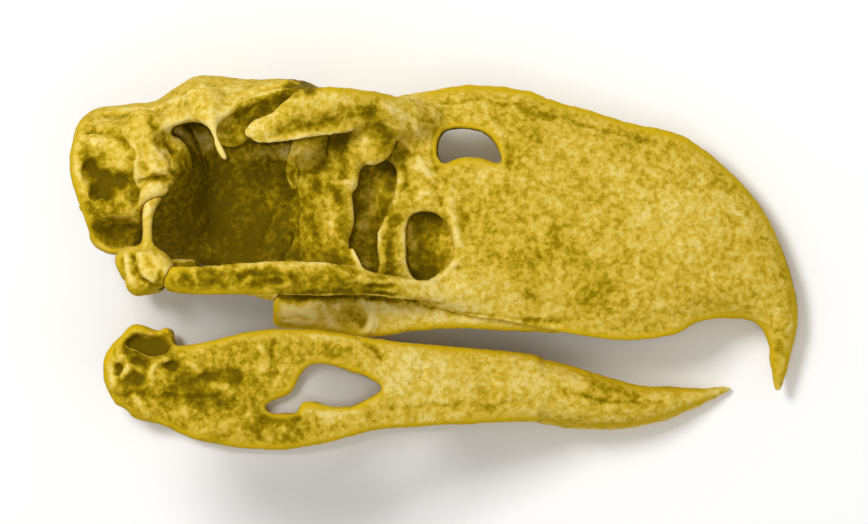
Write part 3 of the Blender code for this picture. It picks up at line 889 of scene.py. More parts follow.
@dataclass(frozen=True)
class Cranium:
    """Braincase, occiput and roof.

    The roof's rows are x, top z, half width, how far its edges drop, and thickness on the midline. At its edges it is
    as thick as rim, and its under side has the share under_share of its width.
    """

    roof: Rows = (
        (6, 80, 22, 8, 14), (15, 87.2, 30, 11, 16), (27, 88.4, 34, 12, 16), (38, 89.6, 35, 12, 16),
        (48, 96.4, 42, 16, 18), (58, 101.8, BROW - 1, 21, 18), (70, 102.2, BROW, 19, 18),
        (84, 100.8, ORBIT + 3, 10, 17), (106, 100.8, ORBIT, 5, 15), (117, 96.5, ORBIT - 2, 5, 14),
        (134, 94.4, 38, 6, 14), (150, 92.4, BILL, 7, 14), (162, 91.8, 25, 9, 12), (171, 92, 17, 9, 10),
    )
    rim: float = 3.0
    under_share: float = 0.97
    braincase: Lumps = (
        ((36, 0, 57), (27, 34, 31)), ((16, 0, 62), (16, 17, 21)), ((38, 0, 34), (26, 19, 14)),
    )
    flank: Lumps = (
        ((20, 27, 60), (16, 15, 21)), ((35, 36, 64), (14, 12, 22)), ((22, 38, 36), (12, 11, 16)),
        ((40.5, 38.5, 57), (9.5, 9, 8)), ((49, 29, 61), (8, 7, 12)), ((20.5, 27, 29), (12, 9.5, 10.5)),
    )
    bosses: Lumps = (
        ((40.8, 42.5, 66), (5.6, 5.5, 3.4)), ((43, 42, 58.6), (4.4, 5, 3.4)), ((12, 38, 67), (5, 5, 7)),
        ((22, 37, 66), (6.5, 6.5, 7)), ((9, 0, 41), (6.2, 5.4, 4.6)),
    )
    hollows: Lumps = (
        ((51.6, 60, 71.3), (15.2, 25, 10.9)), ((22.4, 50, 27.6), (14.2, 15.5, 9.2)), ((10.5, 47, 57), (5, 8.5, 6.5)),
        ((15.8, 48.5, 54), (6, 9.5, 6.2)), ((22.5, 47.5, 52.6), (6, 6.5, 2.8)), ((14.5, 46.5, 47.2), (4.6, 6.5, 3.4)),
        ((31.2, 47.5, 45.4), (2.2, 7, 3.6)),
    )
    zygomatic: Rows = (
        (31.5, 43, 41, 1.8, 2.2), (33.5, 44, 44.5, 2.8, 2.6), (37, 44, 47.4, 3.4, 2.8), (41, 43.5, 48.2, 2.9, 2.8),
        (44.5, 42.5, 47.6, 1.8, 2.4),
    )
    gap_above_zygomatic: Rows = (
        (32.5, 49, 51.8, 1, 4.5), (38, 49, 52.6, 1.3, 5), (43, 48, 54, 1.6, 6), (48.5, 47, 52.6, 1.4, 6),
    )
    ear_rim: Rows = (
        (10.5, 37, 33, 2, 2.6), (13.6, 38, 25.5, 2, 2.8), (18, 39, 21.2, 1.6, 2.8), (24, 40, 20.2, 1.5, 2.8),
        (31, 41, 21, 1.6, 2.8),
    )
    vault: Rows = (
        (70.5, 42, 82, 7, 3), (74.5, 41, 76.5, 9.5, 3), (81, 39.5, 83, 8.5, 3), (90, 38, 89, 8, 3),
        (102, 38, 95, 5, 3),
    )
    spinal_opening: Lump = ((2, 0, 51), (12, 8, 6.5))
    nuchal_crest: Rows = (
        (12, 2, 80, 6.5, 6), (8.5, 22, 75, 6.5, 6), (7, 36, 61, 7, 6), (10.5, 41, 45, 6.5, 6), (17.5, 40, 26, 6, 5),
    )
    postorbital_spike: Rows = (
        (61, BROW - 13, 93, 8, 4), (63.8, BROW - 4, 85, 5.6, 3.4), (65.8, BROW + 1, 78.4, 2.9, 2.6),
        (67.8, BROW + 3, 72, 2, 2), (70.6, CHEEK - 1, 66, 2, 2), (72.6, CHEEK - 0.6, 62.6, 1.8, 1.8),
    )

    def roof_skin(self) -> Skin:
        """A vault whose rim thins to an edge over the eyes.

        Returns:
            Its skin.
        """
        across = np.linspace(-1.0, 1.0, 41)
        rings = []
        for x, top, width, drop, thick in smooth_rows(self.roof, count=120):
            level = top - drop * across**2
            depth = self.rim + (thick - self.rim) * (1 - across**2)
            upper = np.column_stack([np.full(len(across), x), across * width, level])
            lower = np.column_stack([np.full(len(across), x), across * width * self.under_share, level - depth])
            rings.append(np.vstack([upper, lower[::-1]]))
        return skin_of_rings(np.array(rings))

    def shape(self, bone: BoneField) -> None:
        """Writes the cranium into a bone's grid.

        Args:
            bone: The bone's grid.
        """
        for lump in (*self.braincase, *self.flank):
            bone.add(blob(*lump), blend=6.0)
        bone.add(strap(self.nuchal_crest, flat="X"), blend=4.0)
        bone.add(self.roof_skin(), blend=4.0)
        bone.add(strap(self.postorbital_spike, flat="X"), blend=6.0)
        bone.add(strap(self.vault), blend=4.0)
        for lump in self.bosses:
            bone.add(blob(*lump), blend=2.5)

    def open_up(self, bone: BoneField) -> None:
        """Takes out the muscle's passage, the ear and the hole of the spine, and adds the process between them.

        Args:
            bone: The bone's grid.
        """
        for lump in (*self.hollows, self.spinal_opening):
            bone.cut(blob(*lump), blend=2.0)
        bone.cut(strap(self.gap_above_zygomatic), blend=1.5)
        bone.add(strap(self.zygomatic), blend=2.0)
        bone.add(strap(self.ear_rim), blend=1.5)


@dataclass(frozen=True)
class UpperBill:
    """Premaxillae, nasals and maxillae.

    The bill's rows run from its base to the hook's point: the ridge (x, z), the biting edge (x, z), the half width,
    and how round the section is, up to roundest. At the biting edge the flank has the share tomium_share of its width,
    and it is full from the share foot of its height. Fullness gives the powers of its curve. The palate lies above the
    edge by the share palate_rise of the height.
    """

    rows: Rows = (
        (138, 91.5, 138, 2, BILL, 0), (158, 92.5, 158, -2, BILL - 2, 0), (182, 97.3, 182, -9.5, 28.3, 0),
        (208, 95.4, 208, -13.8, 26.5, 0), (229, 88.8, 230, -18.3, 24.8, 0), (256, 80.8, 256, -21.8, 22.5, 0),
        (283, 73.8, 279, -19.4, 19.7, 0), (300, 62.8, 291, -13.2, 17.6, 0.1), (318, 44, 304, -11.2, 14.5, 0.3),
        (330.5, 21, 317, -12.6, 10.8, 0.6), (SKULL_LENGTH, -3, 323, -20, 8, 0.9), (335.8, -22, 324.4, -31.5, 5.2, 1),
        (329.6, -45, 326.6, -45.5, 1.8, 1),
    )
    palate_rise: float = 0.06
    tomium_share: float = 0.8
    foot: float = 0.22
    fullness: Pair = (2.6, 0.62)
    roundest: float = 0.97
    nostril: Rows = (
        (170.5, 72), (174.5, 76.5), (184, 77.2), (194, 73.6), (199.5, 64), (198.5, 60.8), (190.5, 63.2), (180, 63.8),
        (173, 60.8), (170, 65),
    )
    fenestra: Rows = (
        (155.8, 33), (161, 38.3), (171, 36.5), (177.2, 25.8), (176.2, 15.5), (168, 8), (161.5, 6.2), (156, 14.5),
    )
    slot: Rows = (
        (131.8, 52.5), (136.5, 58), (146, 62), (151, 57), (149, 42.5), (142.5, 27), (143, 13), (139.5, 8.2),
        (134.5, 9), (129.5, 22), (131.5, 34),
    )
    recess_inner: float = 16.0
    nasal_sinus: Lump = ((185, 0, 68.5), (18.5, 15, 10.5))
    recess_floor: Lumps = (((173.5, 12, 22), (9, 11, 15)), ((145, 11, 44), (8, 9.5, 16)))
    choana: Rows = ((126, 0, -3, 6, 5.5), (165, 0, -6, 5, 4.5), (205, 0, -15, 2.5, 2.5))

    def ring(self, row: np.ndarray) -> np.ndarray:
        """A section of the bill: palate, biting edge, flank and ridge, or an ellipse where the hook is round.

        Args:
            row: The section's row.

        Returns:
            The ring's points.
        """
        ridge, edge = np.array([row[0], 0.0, row[1]]), np.array([row[2], 0.0, row[3]])
        round_share = min(max(row[5], 0.0), self.roundest)
        t = np.linspace(0.0, 1.0, 40)
        height = (1 - np.cos(math.pi * t)) / 2
        swell, curve = self.fullness
        flank = np.clip(1 - height**swell, 0.0, 1.0) ** curve
        flank *= self.tomium_share + (1 - self.tomium_share) * eased(height, 0.0, self.foot)
        width = row[4] * (flank * (1 - round_share) + np.sin(math.pi * t) * round_share)
        half = edge + (ridge - edge) * height[:, None]
        half[:, 1] = width
        palate = edge + (ridge - edge) * self.palate_rise * (1 - round_share)
        return np.vstack([palate, half, half[:0:-1] * (1, -1, 1)])

    def shape(self, bone: BoneField) -> None:
        """Writes the bill into a bone's grid."""
        rings = [self.ring(row) for row in smooth_rows(self.rows, count=160)]
        bone.add(skin_of_rings(np.array(rings)), blend=5.0)

    def open_up(self, bone: BoneField) -> None:
        """Takes out the nostril, the recesses before the eye, the space between the nostrils and the choana.

        Args:
            bone: The bone's grid.
        """
        bone.cut(prism(self.nostril, -FAR, FAR), blend=1.5)
        for outline in (self.fenestra, self.slot):
            bone.cut(prism(outline, self.recess_inner, FAR), blend=1.5)
        for lump in self.recess_floor:
            bone.add(blob(*lump), blend=4.0)
        bone.cut(blob(*self.nasal_sinus), blend=1.5)
        bone.cut(strap(self.choana), blend=3.0)


@dataclass(frozen=True)
class EyeWall:
    """The wall between the eyes, the rod at its foot and the plates beside it.

    The wall's rows are x, y, top z, bottom z and half thickness.
    """

    wall: Rows = ((54, 0, 84, 26, 7), (72, 0, 90, 16, 3.5), (104, 0, 92, 12, 3.5), (146, 0, 86, 6, 3.5))
    rod: Rows = ((46, 0, 25, 7, 7), (78, 0, 16, 6, 6), (112, 0, 11, 5, 5), (158, 0, 6, 5, 5))
    plates: Lumps = (
        ((121, 12, 48), (5, 15, 38)), ((118, 13, 66), (16, 9, 18)), ((135, 10, 38), (10, 11.5, 30)),
    )

    def shape(self, bone: BoneField) -> None:
        """Writes the wall into a bone's grid.

        Args:
            bone: The bone's grid.
        """
        bone.add(blade(self.wall, stations=40), blend=4.0)
        bone.add(strap(self.rod), blend=5.0)
        for plate in self.plates:
            bone.add(blob(*plate), blend=5.0)


@dataclass(frozen=True)
class Lacrimal:
    """A tongue of bone over the eye, the ledge and body behind it, and the bars and webs below."""

    brow: Rows = (
        (82.4, 54, 74.5, 2.6, 2), (88, 54, 76.2, 5.4, 3), (97, 52.5, 78, 6.6, 4), (105, 50.5, 82, 9.4, 4.5),
        (114, 46.5, 84, 9.6, 5), (128, 42, 85, 8.4, 5), (141, 34.5, 83, 7.2, 5), (153, 25.5, 80.5, 6, 4),
        (166, 14.5, 80, 5, 3),
    )
    ledge: Rows = ((107, 44, 90, 4.5, 5), (124, 40.5, 89, 6, 6), (140, 33.5, 87, 6.5, 6), (156, 24, 85, 6, 5))
    shoulder: Lump = ((149, 15, 80), (17, 12.5, 10))
    rim: Rows = (
        (86, 54.5, 70.8, 1, 1.6), (97, 54, 71, 1.1, 1.6), (112, 50.5, 73.4, 1.2, 1.6), (130.5, 42.5, 76.2, 1.3, 1.8),
    )
    body: Rows = (
        (139.5, 31, 86, 9.5, 5), (140.4, 31, 76, 10.4, 5), (140, 31.5, 69, 9.6, 4.6), (137.4, 31.8, 64.2, 6.6, 4.2),
    )
    post: Rows = ((132, 32.5, 70, 4, 3), (131, 33, 60, 2, 2.8), (131.2, 33.5, 50.5, 2, 2.6))
    strut: Rows = (
        (125.4, 34, 50.5, 5.6, 3), (125.6, 33.5, 44, 5.6, 3.2), (125.8, 33, 34, 5.8, 3.4), (124.2, 33, 25, 4.6, 3.2),
        (125.4, 35, 16, 5.4, 3.6), (127, 38, 9, 7, 4),
    )
    webs: tuple[Rows, ...] = (
        (
            (113, 21, 62, 6.5, 2.6), (112.5, 25, 55, 6.8, 2.6), (112, 25, 46, 7, 2.8), (113.5, 25, 30, 7.6, 2.8),
            (115, 30, 14, 10, 3.4), (116, 33, 3, 10, 3.4),
        ),
        (
            (108, 14.5, 68, 4, 2.6), (105, 16, 57, 6, 2.6), (108, 17, 47, 4, 2.6), (105.5, 17.5, 38, 7.5, 2.6),
            (109, 18.5, 27, 5.5, 2.8), (106, 20, 14, 8, 3.4), (107, 21, 3, 8, 3.4),
        ),
        (
            (100, 4.5, 72, 7, 2.8), (97, 5, 52, 8.6, 2.8), (100.5, 6, 38, 7, 2.8), (97, 7, 20, 9.4, 3.4),
            (98, 8, 4, 9.4, 3.4),
        ),
        ((130, 26, 79, 8, 2.8), (127, 28.5, 66, 8, 2.8), (126, 30, 54, 6, 2.8)),
        (
            (119, 29, 55, 4, 2.4), (119.5, 30.5, 46, 5.6, 2.8), (119, 30, 30, 5.6, 2.8), (120, 33, 14, 6, 3),
            (120, 36, 4, 6, 3),
        ),
    )
    sliver: Rows = ((130.4, 37, 22.5, 1.3, 1.6), (132.6, 37.5, 16, 1.7, 1.8), (134.4, 38, 10, 1.7, 2))

    def shape(self, bone: BoneField) -> None:
        """Writes the lacrimals into a bone's grid.

        Args:
            bone: The bone's grid.
        """
        bone.add(strap(self.body, flat="X"), blend=4.0)
        bone.add(strap(self.post, flat="X"), blend=3.0)
        for web in self.webs:
            bone.add(strap(web, flat="X"), blend=6.0)
        bone.add(strap(self.strut, flat="X"), blend=2.5)
        bone.add(strap(self.sliver, flat="X"), blend=1.5)
        bone.add(strap(self.ledge), blend=5.0)
        bone.add(blob(*self.shoulder), blend=8.0)
        bone.add(strap(self.brow), blend=6.0)
        bone.add(strap(self.rim, flat="X"), blend=2.0)


@dataclass(frozen=True)
class CheekAndPalate:
    """The jugal bars and the palatines."""

    jugal: Rows = (
        (46.5, CHEEK - 2, 7.2, 6, 3.2), (53, CHEEK - 0.6, 7, 6.8, 3.4), (62, CHEEK, 6.8, 7, 3.4),
        (90, CHEEK - 3.5, 7.8, 8, 3.4), (118, 47.5, 7.6, 8, 3.4), (142, 38.5, 4.8, 5.6, 3.6),
        (166, 29, 1.5, 4.8, 3.6), (190, 20, -2, 3.5, 3),
    )
    upper_edge: Rows = (
        (118, 49, 9.5, 1.6, 3), (140, 41, 6.4, 1.5, 2.8), (160, 33, 4.6, 1.4, 2.4), (174, 27.5, 3, 1.2, 1.6),
    )
    palatine: Rows = (
        (93.6, 12.5, -0.8, -14.4, 2.2), (97, 13, 1, -15.6, 2.8), (112, 14.5, 3, -16.4, 3.4),
        (128, 15.5, 3.6, -18.6, 3.8), (142, 16, 2.6, -19.4, 4), (172, 15, -3.2, -15.6, 4), (204, 13, -10, -16.8, 3.4),
        (228, 11, -14, -18, 2.6),
    )

    def shape(self, bone: BoneField) -> None:
        """Writes the bars into a bone's grid.

        Args:
            bone: The bone's grid.
        """
        bone.add(strap(self.jugal), blend=5.0)
        bone.add(strap(self.upper_edge), blend=1.5)
        bone.add(blade(self.palatine, stations=90), blend=2.5)


@dataclass(frozen=True)
class Skull:
    """The bones of the skull that have grown into one."""

    cell: float = 0.8
    low: Row = (-5, 0, -52)
    high: Row = (343, 66, 109)
    cranium: Cranium = Cranium()
    bill: UpperBill = UpperBill()
    eye_wall: EyeWall = EyeWall()
    lacrimal: Lacrimal = Lacrimal()
    cheek: CheekAndPalate = CheekAndPalate()
    # The strokes' tones paint highlights along ridges and shade in grooves, pits and hollows, besides paler and darker
    # patches of bone.
    flank_strokes: tuple[Stroke, ...] = drawn(
        # Broad patches of paler and darker tone: some paint shade over the orbit, and some paint light into places
        # that lie in shade, over the top of the orbit and under the edge of the maxilla.
        (8, 0, -0.5, 46, 6, 70, 7, 96, 7, 120, 7, 142, 4), (5, 0, 0.38, 98, -8, 118, -9),
        (9, 0, -0.22, 138, 86, 144, 76, 150, 62, 152, 50), (5, 0, -0.5, 148, 40, 149, 28, 149, 14),
        (5, 0, -0.48, 122, 50, 126, 36, 126, 18), (6, 0, -0.25, 10, 43, 20, 41, 28, 42),
        (9, 0, -0.12, 14, 72, 26, 68, 38, 70), (5, 0, 0.38, 146, -8, 175, -10, 205, -13),
        (5, 0, 0.62, 76, 65.5, 96, 66), (10, 0, -0.1, 64, 58, 64, 30), (12, 0, -0.12, 82, 54, 83, 40, 82, 24),
        (7, 0, -0.12, 92, 76, 106, 82, 120, 86), (5, 0, -0.42, 125, 70, 126, 58), (16, 0, -0.09, 190, 40, 196, 20),
        (22, 0, 0.05, 240, 50, 280, 30, 310, 0), (2, 0, -0.4, 98, -1.2, 125, -0.8, 150, -2.4),
        # Back of the head.
        (2, -1.4, -0.47, 15.5, 86, 19, 83.5, 23.5, 80.5), (1.6, -0.4, -0.23, 25, 82.5, 30, 81.5),
        (1.5, -1.5, -0.35, 9, 75.5, 20, 74, 25, 70.5, 28, 65.5, 29.2, 58, 29, 50),
        (1.3, 1.2, 0.27, 22, 79, 27, 75, 30.8, 68, 31.6, 58, 31.2, 50),
        (4.5, 0.5, 0.25, 12, 71, 17, 70, 22, 66, 25, 60), (2, -0.6, -0.2, 18.5, 65.5, 20, 64),
        (2.5, -1, -0.31, 8.5, 68, 9.5, 64), (4.2, -1, -0.85, 9.5, 60, 13, 57.5, 18, 54, 25, 53),
        (3.6, -1, -0.8, 13, 50, 16.5, 46.5), (2, 0.6, 0.23, 3.5, 70, 4.2, 62, 4, 55),
        (1.4, 1.2, 0.31, 15, 44.5, 18, 41.5, 19.5, 39), (1.5, -1.4, -0.39, 20.5, 43, 22, 37.5),
        (2.2, 0.8, 0.23, 23.5, 45, 27, 44, 30, 40.5), (3, -1, -0.35, 9, 41, 13, 39, 17, 37),
        (1.8, -1.6, -0.47, 31.2, 48, 31, 43.5), (6.2, -0.8, -0.66, 13.5, 29.5, 22, 28, 30, 28),
        # Side of the braincase.
        (6, 0, 0.12, 34, 80, 35, 66, 39, 60), (3, 0, -0.25, 39, 78, 41.5, 71), (2, 0, -0.25, 44.5, 75, 46, 69),
        (3.2, 1.1, 0.16, 39.5, 67.5, 43.5, 66), (1.3, -1, -0.31, 36, 60.5, 36.5, 57.5),
        (1.3, -0.8, -0.27, 42.5, 62, 43.5, 60), (1.3, -1, -0.39, 33, 52, 40, 53.8, 44.5, 53.6),
        (2.2, 0.5, 0.23, 33, 43.5, 37, 48, 43, 48.2), (1.8, -0.8, -0.31, 46.5, 68, 47.5, 62),
        (1.4, -1, -0.39, 47, 58.5, 49.5, 55.5), (2, 0.4, 0.23, 50.5, 67, 51.5, 62),
        # The broad pale mark paints light into the shade of the muscle's passage.
        (6, 0, 1.1, 50, 75, 55, 74, 61, 72), (1.8, -1, -0.39, 37.5, 82, 39, 79, 41.5, 77.5),
        (1.6, -0.5, -0.27, 59, 82.5, 61.5, 81.5),
        # Roof, spike and the vault under the brow.
        (5, 0, 0.14, 50, 90, 57, 95, 62, 90, 66, 83), (1.4, -0.5, -0.23, 50.5, 87, 51, 85.5),
        (1.8, -0.5, -0.23, 60, 87.2), (2.2, -0.5, -0.27, 40.5, 89, 42, 86),
        (2.2, 0.3, 0.27, 70, 96, 80, 97.5, 92, 98.5), (2.2, 0.3, 0, 66, 80, 68, 74, 71, 66),
        (2.4, -0.6, 0.12, 70.5, 84, 74, 89, 78, 92.5, 86, 92.8, 95, 96, 101, 98.5),
        (2.6, 0.7, 0.27, 83, 87, 86, 84.5), (2.2, 0.6, 0.2, 94, 88.5, 95, 85), (2.2, 0.6, 0.23, 72, 73.5),
        # The broad pale mark paints light into the shade beside the spike.
        (4, 0, 0.35, 72.5, 79, 77, 84), (1.2, 0, -0.25, 83.5, 73, 89, 71, 98, 71.4),
        (1.8, -0.6, -0.23, 78, 84, 80, 80), (1.2, -0.6, -0.23, 88.5, 86, 90, 82.5),
        (3.2, -0.8, -0.7, 103, 98, 108, 97, 111, 95.5), (2.4, -0.8, -0.31, 101.5, 95, 106, 91.5),
        # Brow and the bone behind it.
        (4.6, 0.8, 0.22, 83, 74.5, 90, 77, 98, 81, 105, 87.5, 112, 89.5, 120, 88.5),
        (1.2, -0.4, -0.2, 86.5, 75, 88.5, 76.5), (3, -1.6, -0.39, 99, 76.5, 108, 77.5, 118, 79.2, 130, 80.5),
        (1.2, -0.6, -0.27, 82.6, 77.5, 83.6, 71.5), (1, 1, 0.2, 86.2, 70.6, 96.9, 71, 111.8, 73.4, 130, 76.2),
        (2.2, -0.5, -0.23, 124, 84.5, 131, 85), (2, 0.3, 0.23, 127.5, 88, 133, 88),
        (4.5, -0.5, -0.35, 138, 83, 143, 77, 144, 70), (1.6, 0.6, 0.23, 136, 74, 137, 68),
        (2, 0.9, 0.43, 146, 87.5, 150, 85.5, 153.5, 83), (1.5, 0.8, 0.27, 142, 81.5, 147, 78.5, 151, 76.5),
        # Strut and webs before the eye.
        # The first mark paints light over the top of the webs, which lies in shade.
        (6, 0, 0.7, 104, 66, 114, 66, 118, 66), (7, 0, 0.24, 110, 52, 112, 36, 113, 16),
        (1.3, 0.9, 0.31, 122, 52, 126, 52.4, 130.5, 51.4), (1.8, 0.6, 0.23, 120.5, 46, 120.5, 30),
        (2.4, -1.6, -0.47, 123.5, 45.5, 126, 44), (3, 0.5, 0.2, 124, 38, 129, 33), (1.4, -0.8, -0.27, 127.6, 32.8),
        (2, 0.6, 0.23, 121, 27, 127, 26), (1.4, -0.8, -0.31, 122.5, 19, 123, 14),
        (1.2, 0.6, 0.27, 125.6, 19, 125.6, 16), (1.5, 0.8, 0.31, 131, 20.5, 133.5, 14.5, 134.5, 11.5),
        (1.3, 0.8, 0.39, 100.5, 58, 102, 51), (2.2, 0.8, 0.31, 106, 58, 106.5, 50),
        (1.7, 0.8, 0.35, 111, 56, 110.5, 38), (2.2, 0.7, 0.31, 104, 35.5, 107, 34), (3, 0.5, 0.2, 104, 26, 110, 28),
        (2.2, -0.6, -0.23, 115, 50, 115, 25), (1.8, 0.8, 0.31, 100, 65, 102.5, 61),
        (1.4, 0.7, 0.31, 123.5, 58, 121.5, 52),
        # Recesses and the strut between them.
        # The broad pale marks here and on the fenestra paint light into the recesses, which lie in shade.
        (5, 0, 0.6, 140, 55, 138, 44, 135.5, 25, 137, 14), (1.1, 1.2, 0.39, 147, 35.5, 142.5, 28, 142, 22),
        (1.4, -1.4, -0.39, 144.5, 26.5, 143.5, 23), (2, 0.5, 0.23, 149, 38, 150, 45, 152, 56),
        (1.3, 0.6, 0.27, 154.5, 27, 154.5, 20), (1.5, 0.5, 0.23, 151, 16.5, 153, 16.5),
        (1.4, -0.8, -0.27, 147, 24, 147.5, 14), (1.6, 0.6, 0.23, 151.5, 30, 151, 22),
        (3, 0, 0.6, 158.5, 32, 158.5, 14), (4, 0, -0.2, 171, 34, 172, 22, 170, 13),
        (2.4, 0.8, 0.27, 157, 60.5, 160, 58), (1.8, -0.7, -0.27, 155, 66, 153.5, 55, 156, 50),
        (1.8, 0.7, 0.27, 154, 73, 157, 68), (1.2, 0.8, 0.23, 160, 4.8, 171, 8, 178, 15.5),
        # Before the openings and round the nostril.
        (1.6, 0.9, 0.35, 156, 81.5, 159.5, 79.5, 162.5, 74, 166, 69.5),
        (1.9, 1.5, 0.47, 161.3, 63.5, 163.5, 58.5, 167.5, 52.5),
        (1.2, -1.4, -0.39, 164, 55, 169.5, 48.5, 172.5, 42.5),
        (1.6, -0.8, -0.31, 168.5, 76, 168, 66, 172, 57, 176, 47),
        (1.7, 1.3, 0.39, 175.3, 52, 175.8, 42, 178, 32, 179.6, 24), (1.4, -0.5, -0.23, 181.5, 48, 182.5, 30),
        (1.2, -0.8, -0.27, 185.8, 30, 186, 27.5), (1.2, 0.8, 0.27, 162.5, 44, 163.5, 47, 166.5, 46.5, 167.5, 43),
        (2.6, -0.8, -0.31, 202.5, 68, 203.5, 60.5), (1.3, 0.8, 0.27, 194.5, 79, 198.5, 73.5),
        (1.3, -0.5, -0.23, 161, 80.8, 175, 79.8, 190, 79.4), (1.3, -0.5, -0.2, 213, 72.5, 219, 70.5),
        (2.2, 0.3, 0.2, 217, 68, 221, 60, 221, 54), (1.5, -0.6, -0.23, 213, 20, 217, 18, 216.5, 14, 212.5, 13),
        # Edge of the maxilla.
        (8, 0.4, 0.25, 172, 0, 185, 3, 200, 2), (1.8, -0.6, -0.27, 179, 11.5, 182, 12.5),
        (1.2, -0.9, -0.5, 158, -2.4, 170, -6, 180, -8.6, 192, -9.6, 205, -10.6, 226, -12),
        (2.4, -0.6, -0.23, 212, -1, 217, -4),
        # Cheek bar.
        (1.8, 1, 0.39, 128, 6.5, 133, 7.8, 136, 6.5), (1, -0.9, -0.39, 133, 5.4),
        (1.3, 0.9, 0.31, 137, 6.8, 150, 6.6, 158, 5.8), (1, 0.6, 0.27, 141, 3, 151, 2.8),
        (0.9, -0.8, -0.35, 138, 4.9, 152, 4.6), (1.3, -1, -0.43, 112, 0.8, 125, 1.2, 140, 0.6, 154, -0.5),
        (2.2, -1, -0.35, 96.8, 6.2), (1, 0.6, 0.23, 93, 8.5, 100, 8.8, 101, 5, 96, 3),
        (1.8, -0.8, -0.31, 87.5, 5, 92.5, 6.5), (1.6, 0.8, 0.35, 50, 12.5, 51, 4),
        (1.4, 0.6, 0.27, 58.5, 12, 60, 4.5), (1.8, 0.6, 0.27, 71, 12.5, 75, 5), (1.2, -0.8, -0.27, 66, 12.6, 68, 10),
        (1.4, 0.6, 0.27, 84, 8, 82, 3), (2, -0.8, -0.27, 63, 7, 67, 5.5), (1.8, -0.6, -0.23, 54, 10, 57, 6.5),
        (1.6, 0.5, 0.31, 79, 11.6, 84, 13.8, 92, 14.8, 100, 14, 118, 14.6),
        (1.5, -0.9, -0.31, 80, 9.3, 92, 10.4, 104, 9), (1.6, 0, -0.3, 45, 2.2, 70, 1.2, 90, 0.6),
        (1.1, 0.6, 0.27, 122, 13, 128.5, 10),
        # Palatine.
        (1, 0.8, 0.35, 96, -12.7, 110, -13.2), (0.9, -0.9, -0.35, 98, -11, 110, -10.8),
        (1, -0.7, -0.31, 97, -14.7, 114, -15.2), (2.4, -1, -0.35, 98, -2.5, 108, -2),
        (1.6, 0.7, 0.27, 99, -6, 105, -8, 110, -9.5), (2, -1.1, -0.35, 114.5, -7, 115.5, -10),
        (1.7, 0.9, 0.35, 122, -5, 126.5, -5.4), (1.8, -1, -0.39, 122.5, -9.5, 124, -12.5),
        (1, 0.6, 0.27, 120, -14.6, 124, -14.8), (2.6, -1.8, -0.39, 127, -9, 132.5, -10.5, 133.4, -14),
        (1.8, 1.2, 0.39, 134, -1.5, 135, -4, 140, -3.6, 146, -5.5),
        (1.9, 1.8, 1, 138, -6, 139, -11, 138, -15, 136, -17), (2.4, -0.7, -0.23, 143, -6.5, 146, -10, 144, -15),
        (1.6, -0.7, -0.31, 147, -3, 156, -4.5),
        # Bill and hook.
        # The first mark is a painted highlight along the bill's flank.
        (2, 0.3, 0.27, 299, 47.5, 304, 43, 310, 36, 316, 28.5), (5, 0, -0.25, 224, 30, 229, 21),
        (7, 0, -0.2, 236, -3, 246, 2), (5, 0, -0.15, 206, 12, 214, 4), (2.5, 0, -0.25, 327, -18, 328, -40),
    )
    # Their tones paint shade in grooves and highlight on ridges, besides darker patches.
    roof_strokes: tuple[Stroke, ...] = drawn(
        (6.5, -0.4, -0.72, 107, 0, 108, 20, 108.5, 40), (1.8, -1, -0.35, 151, 0, 150, 14, 148, 27),
        (0.9, -0.4, -0.3, 24, 0, 60, 0, 100, 0), (13, -1, -0.1, 84, 0, 128, 0),
        (1.8, 1, 0.35, 62, 40, 47, 26, 32, 17, 14, 15), (5, -0.6, -0.15, 60, 34, 48, 20),
        (4, -0.7, -0.2, 90, 35, 106, 33), (1.2, -0.6, -0.3, 128, 20, 146, 16),
        (2.2, 0.6, 0.25, 160, 0, 215, 0, 285, 0), (1, -0.5, -0.25, 170, 9, 230, 8, 280, 6),
    )
    # Their tones paint highlight on ridges and shade in pits and grooves.
    nape_strokes: tuple[Stroke, ...] = drawn(
        (4, 1.2, 0.3, 0, 79, 0, 62), (2.4, -1.6, -0.6, 12, 52, 14, 48), (5, -1.2, -0.3, 20, 60, 27, 56),
        (1.3, 0.8, 0.3, 10, 70, 22, 68, 31, 60), (2, -1, -0.4, 22, 44, 28, 38),
    )
    # Their tones paint shade in grooves and highlight on ridges.
    palate_strokes: tuple[Stroke, ...] = drawn(
        (1.4, -0.9, -0.35, 205, 14, 250, 12, 290, 8), (1.6, 0.7, 0.3, 205, 0, 250, 0, 300, 0),
        (2, 0.5, 0.2, 110, 40, 135, 30),
    )
    stands_for: tuple[str, ...] = (
        "cranium", "upper_bill", "septum", "ectethmoid_left", "ectethmoid_right", "lacrimal_left", "lacrimal_right",
        "jugal_bar_left", "jugal_bar_right", "palatine_left", "palatine_right",
    )

    def bone(self) -> BoneField:
        """Builds the skull.

        Returns:
            Its grid of distances.
        """
        made = BoneField(self.low, self.high, self.cell, even=True)
        self.eye_wall.shape(made)
        self.cranium.shape(made)
        self.cranium.open_up(made)
        self.bill.shape(made)
        self.bill.open_up(made)
        self.lacrimal.shape(made)
        self.cheek.shape(made)
        made.soften()
        return made

    def reliefs(self) -> tuple[Relief, ...]:
        """The strokes on its faces.

        Returns:
            One relief for each face.
        """
        return (
            Relief(Facing.SIDE, self.flank_strokes),
            Relief(Facing.TOP, self.roof_strokes),
            Relief(Facing.BACK, self.nape_strokes),
            Relief(Facing.UNDER, self.palate_strokes),
        )


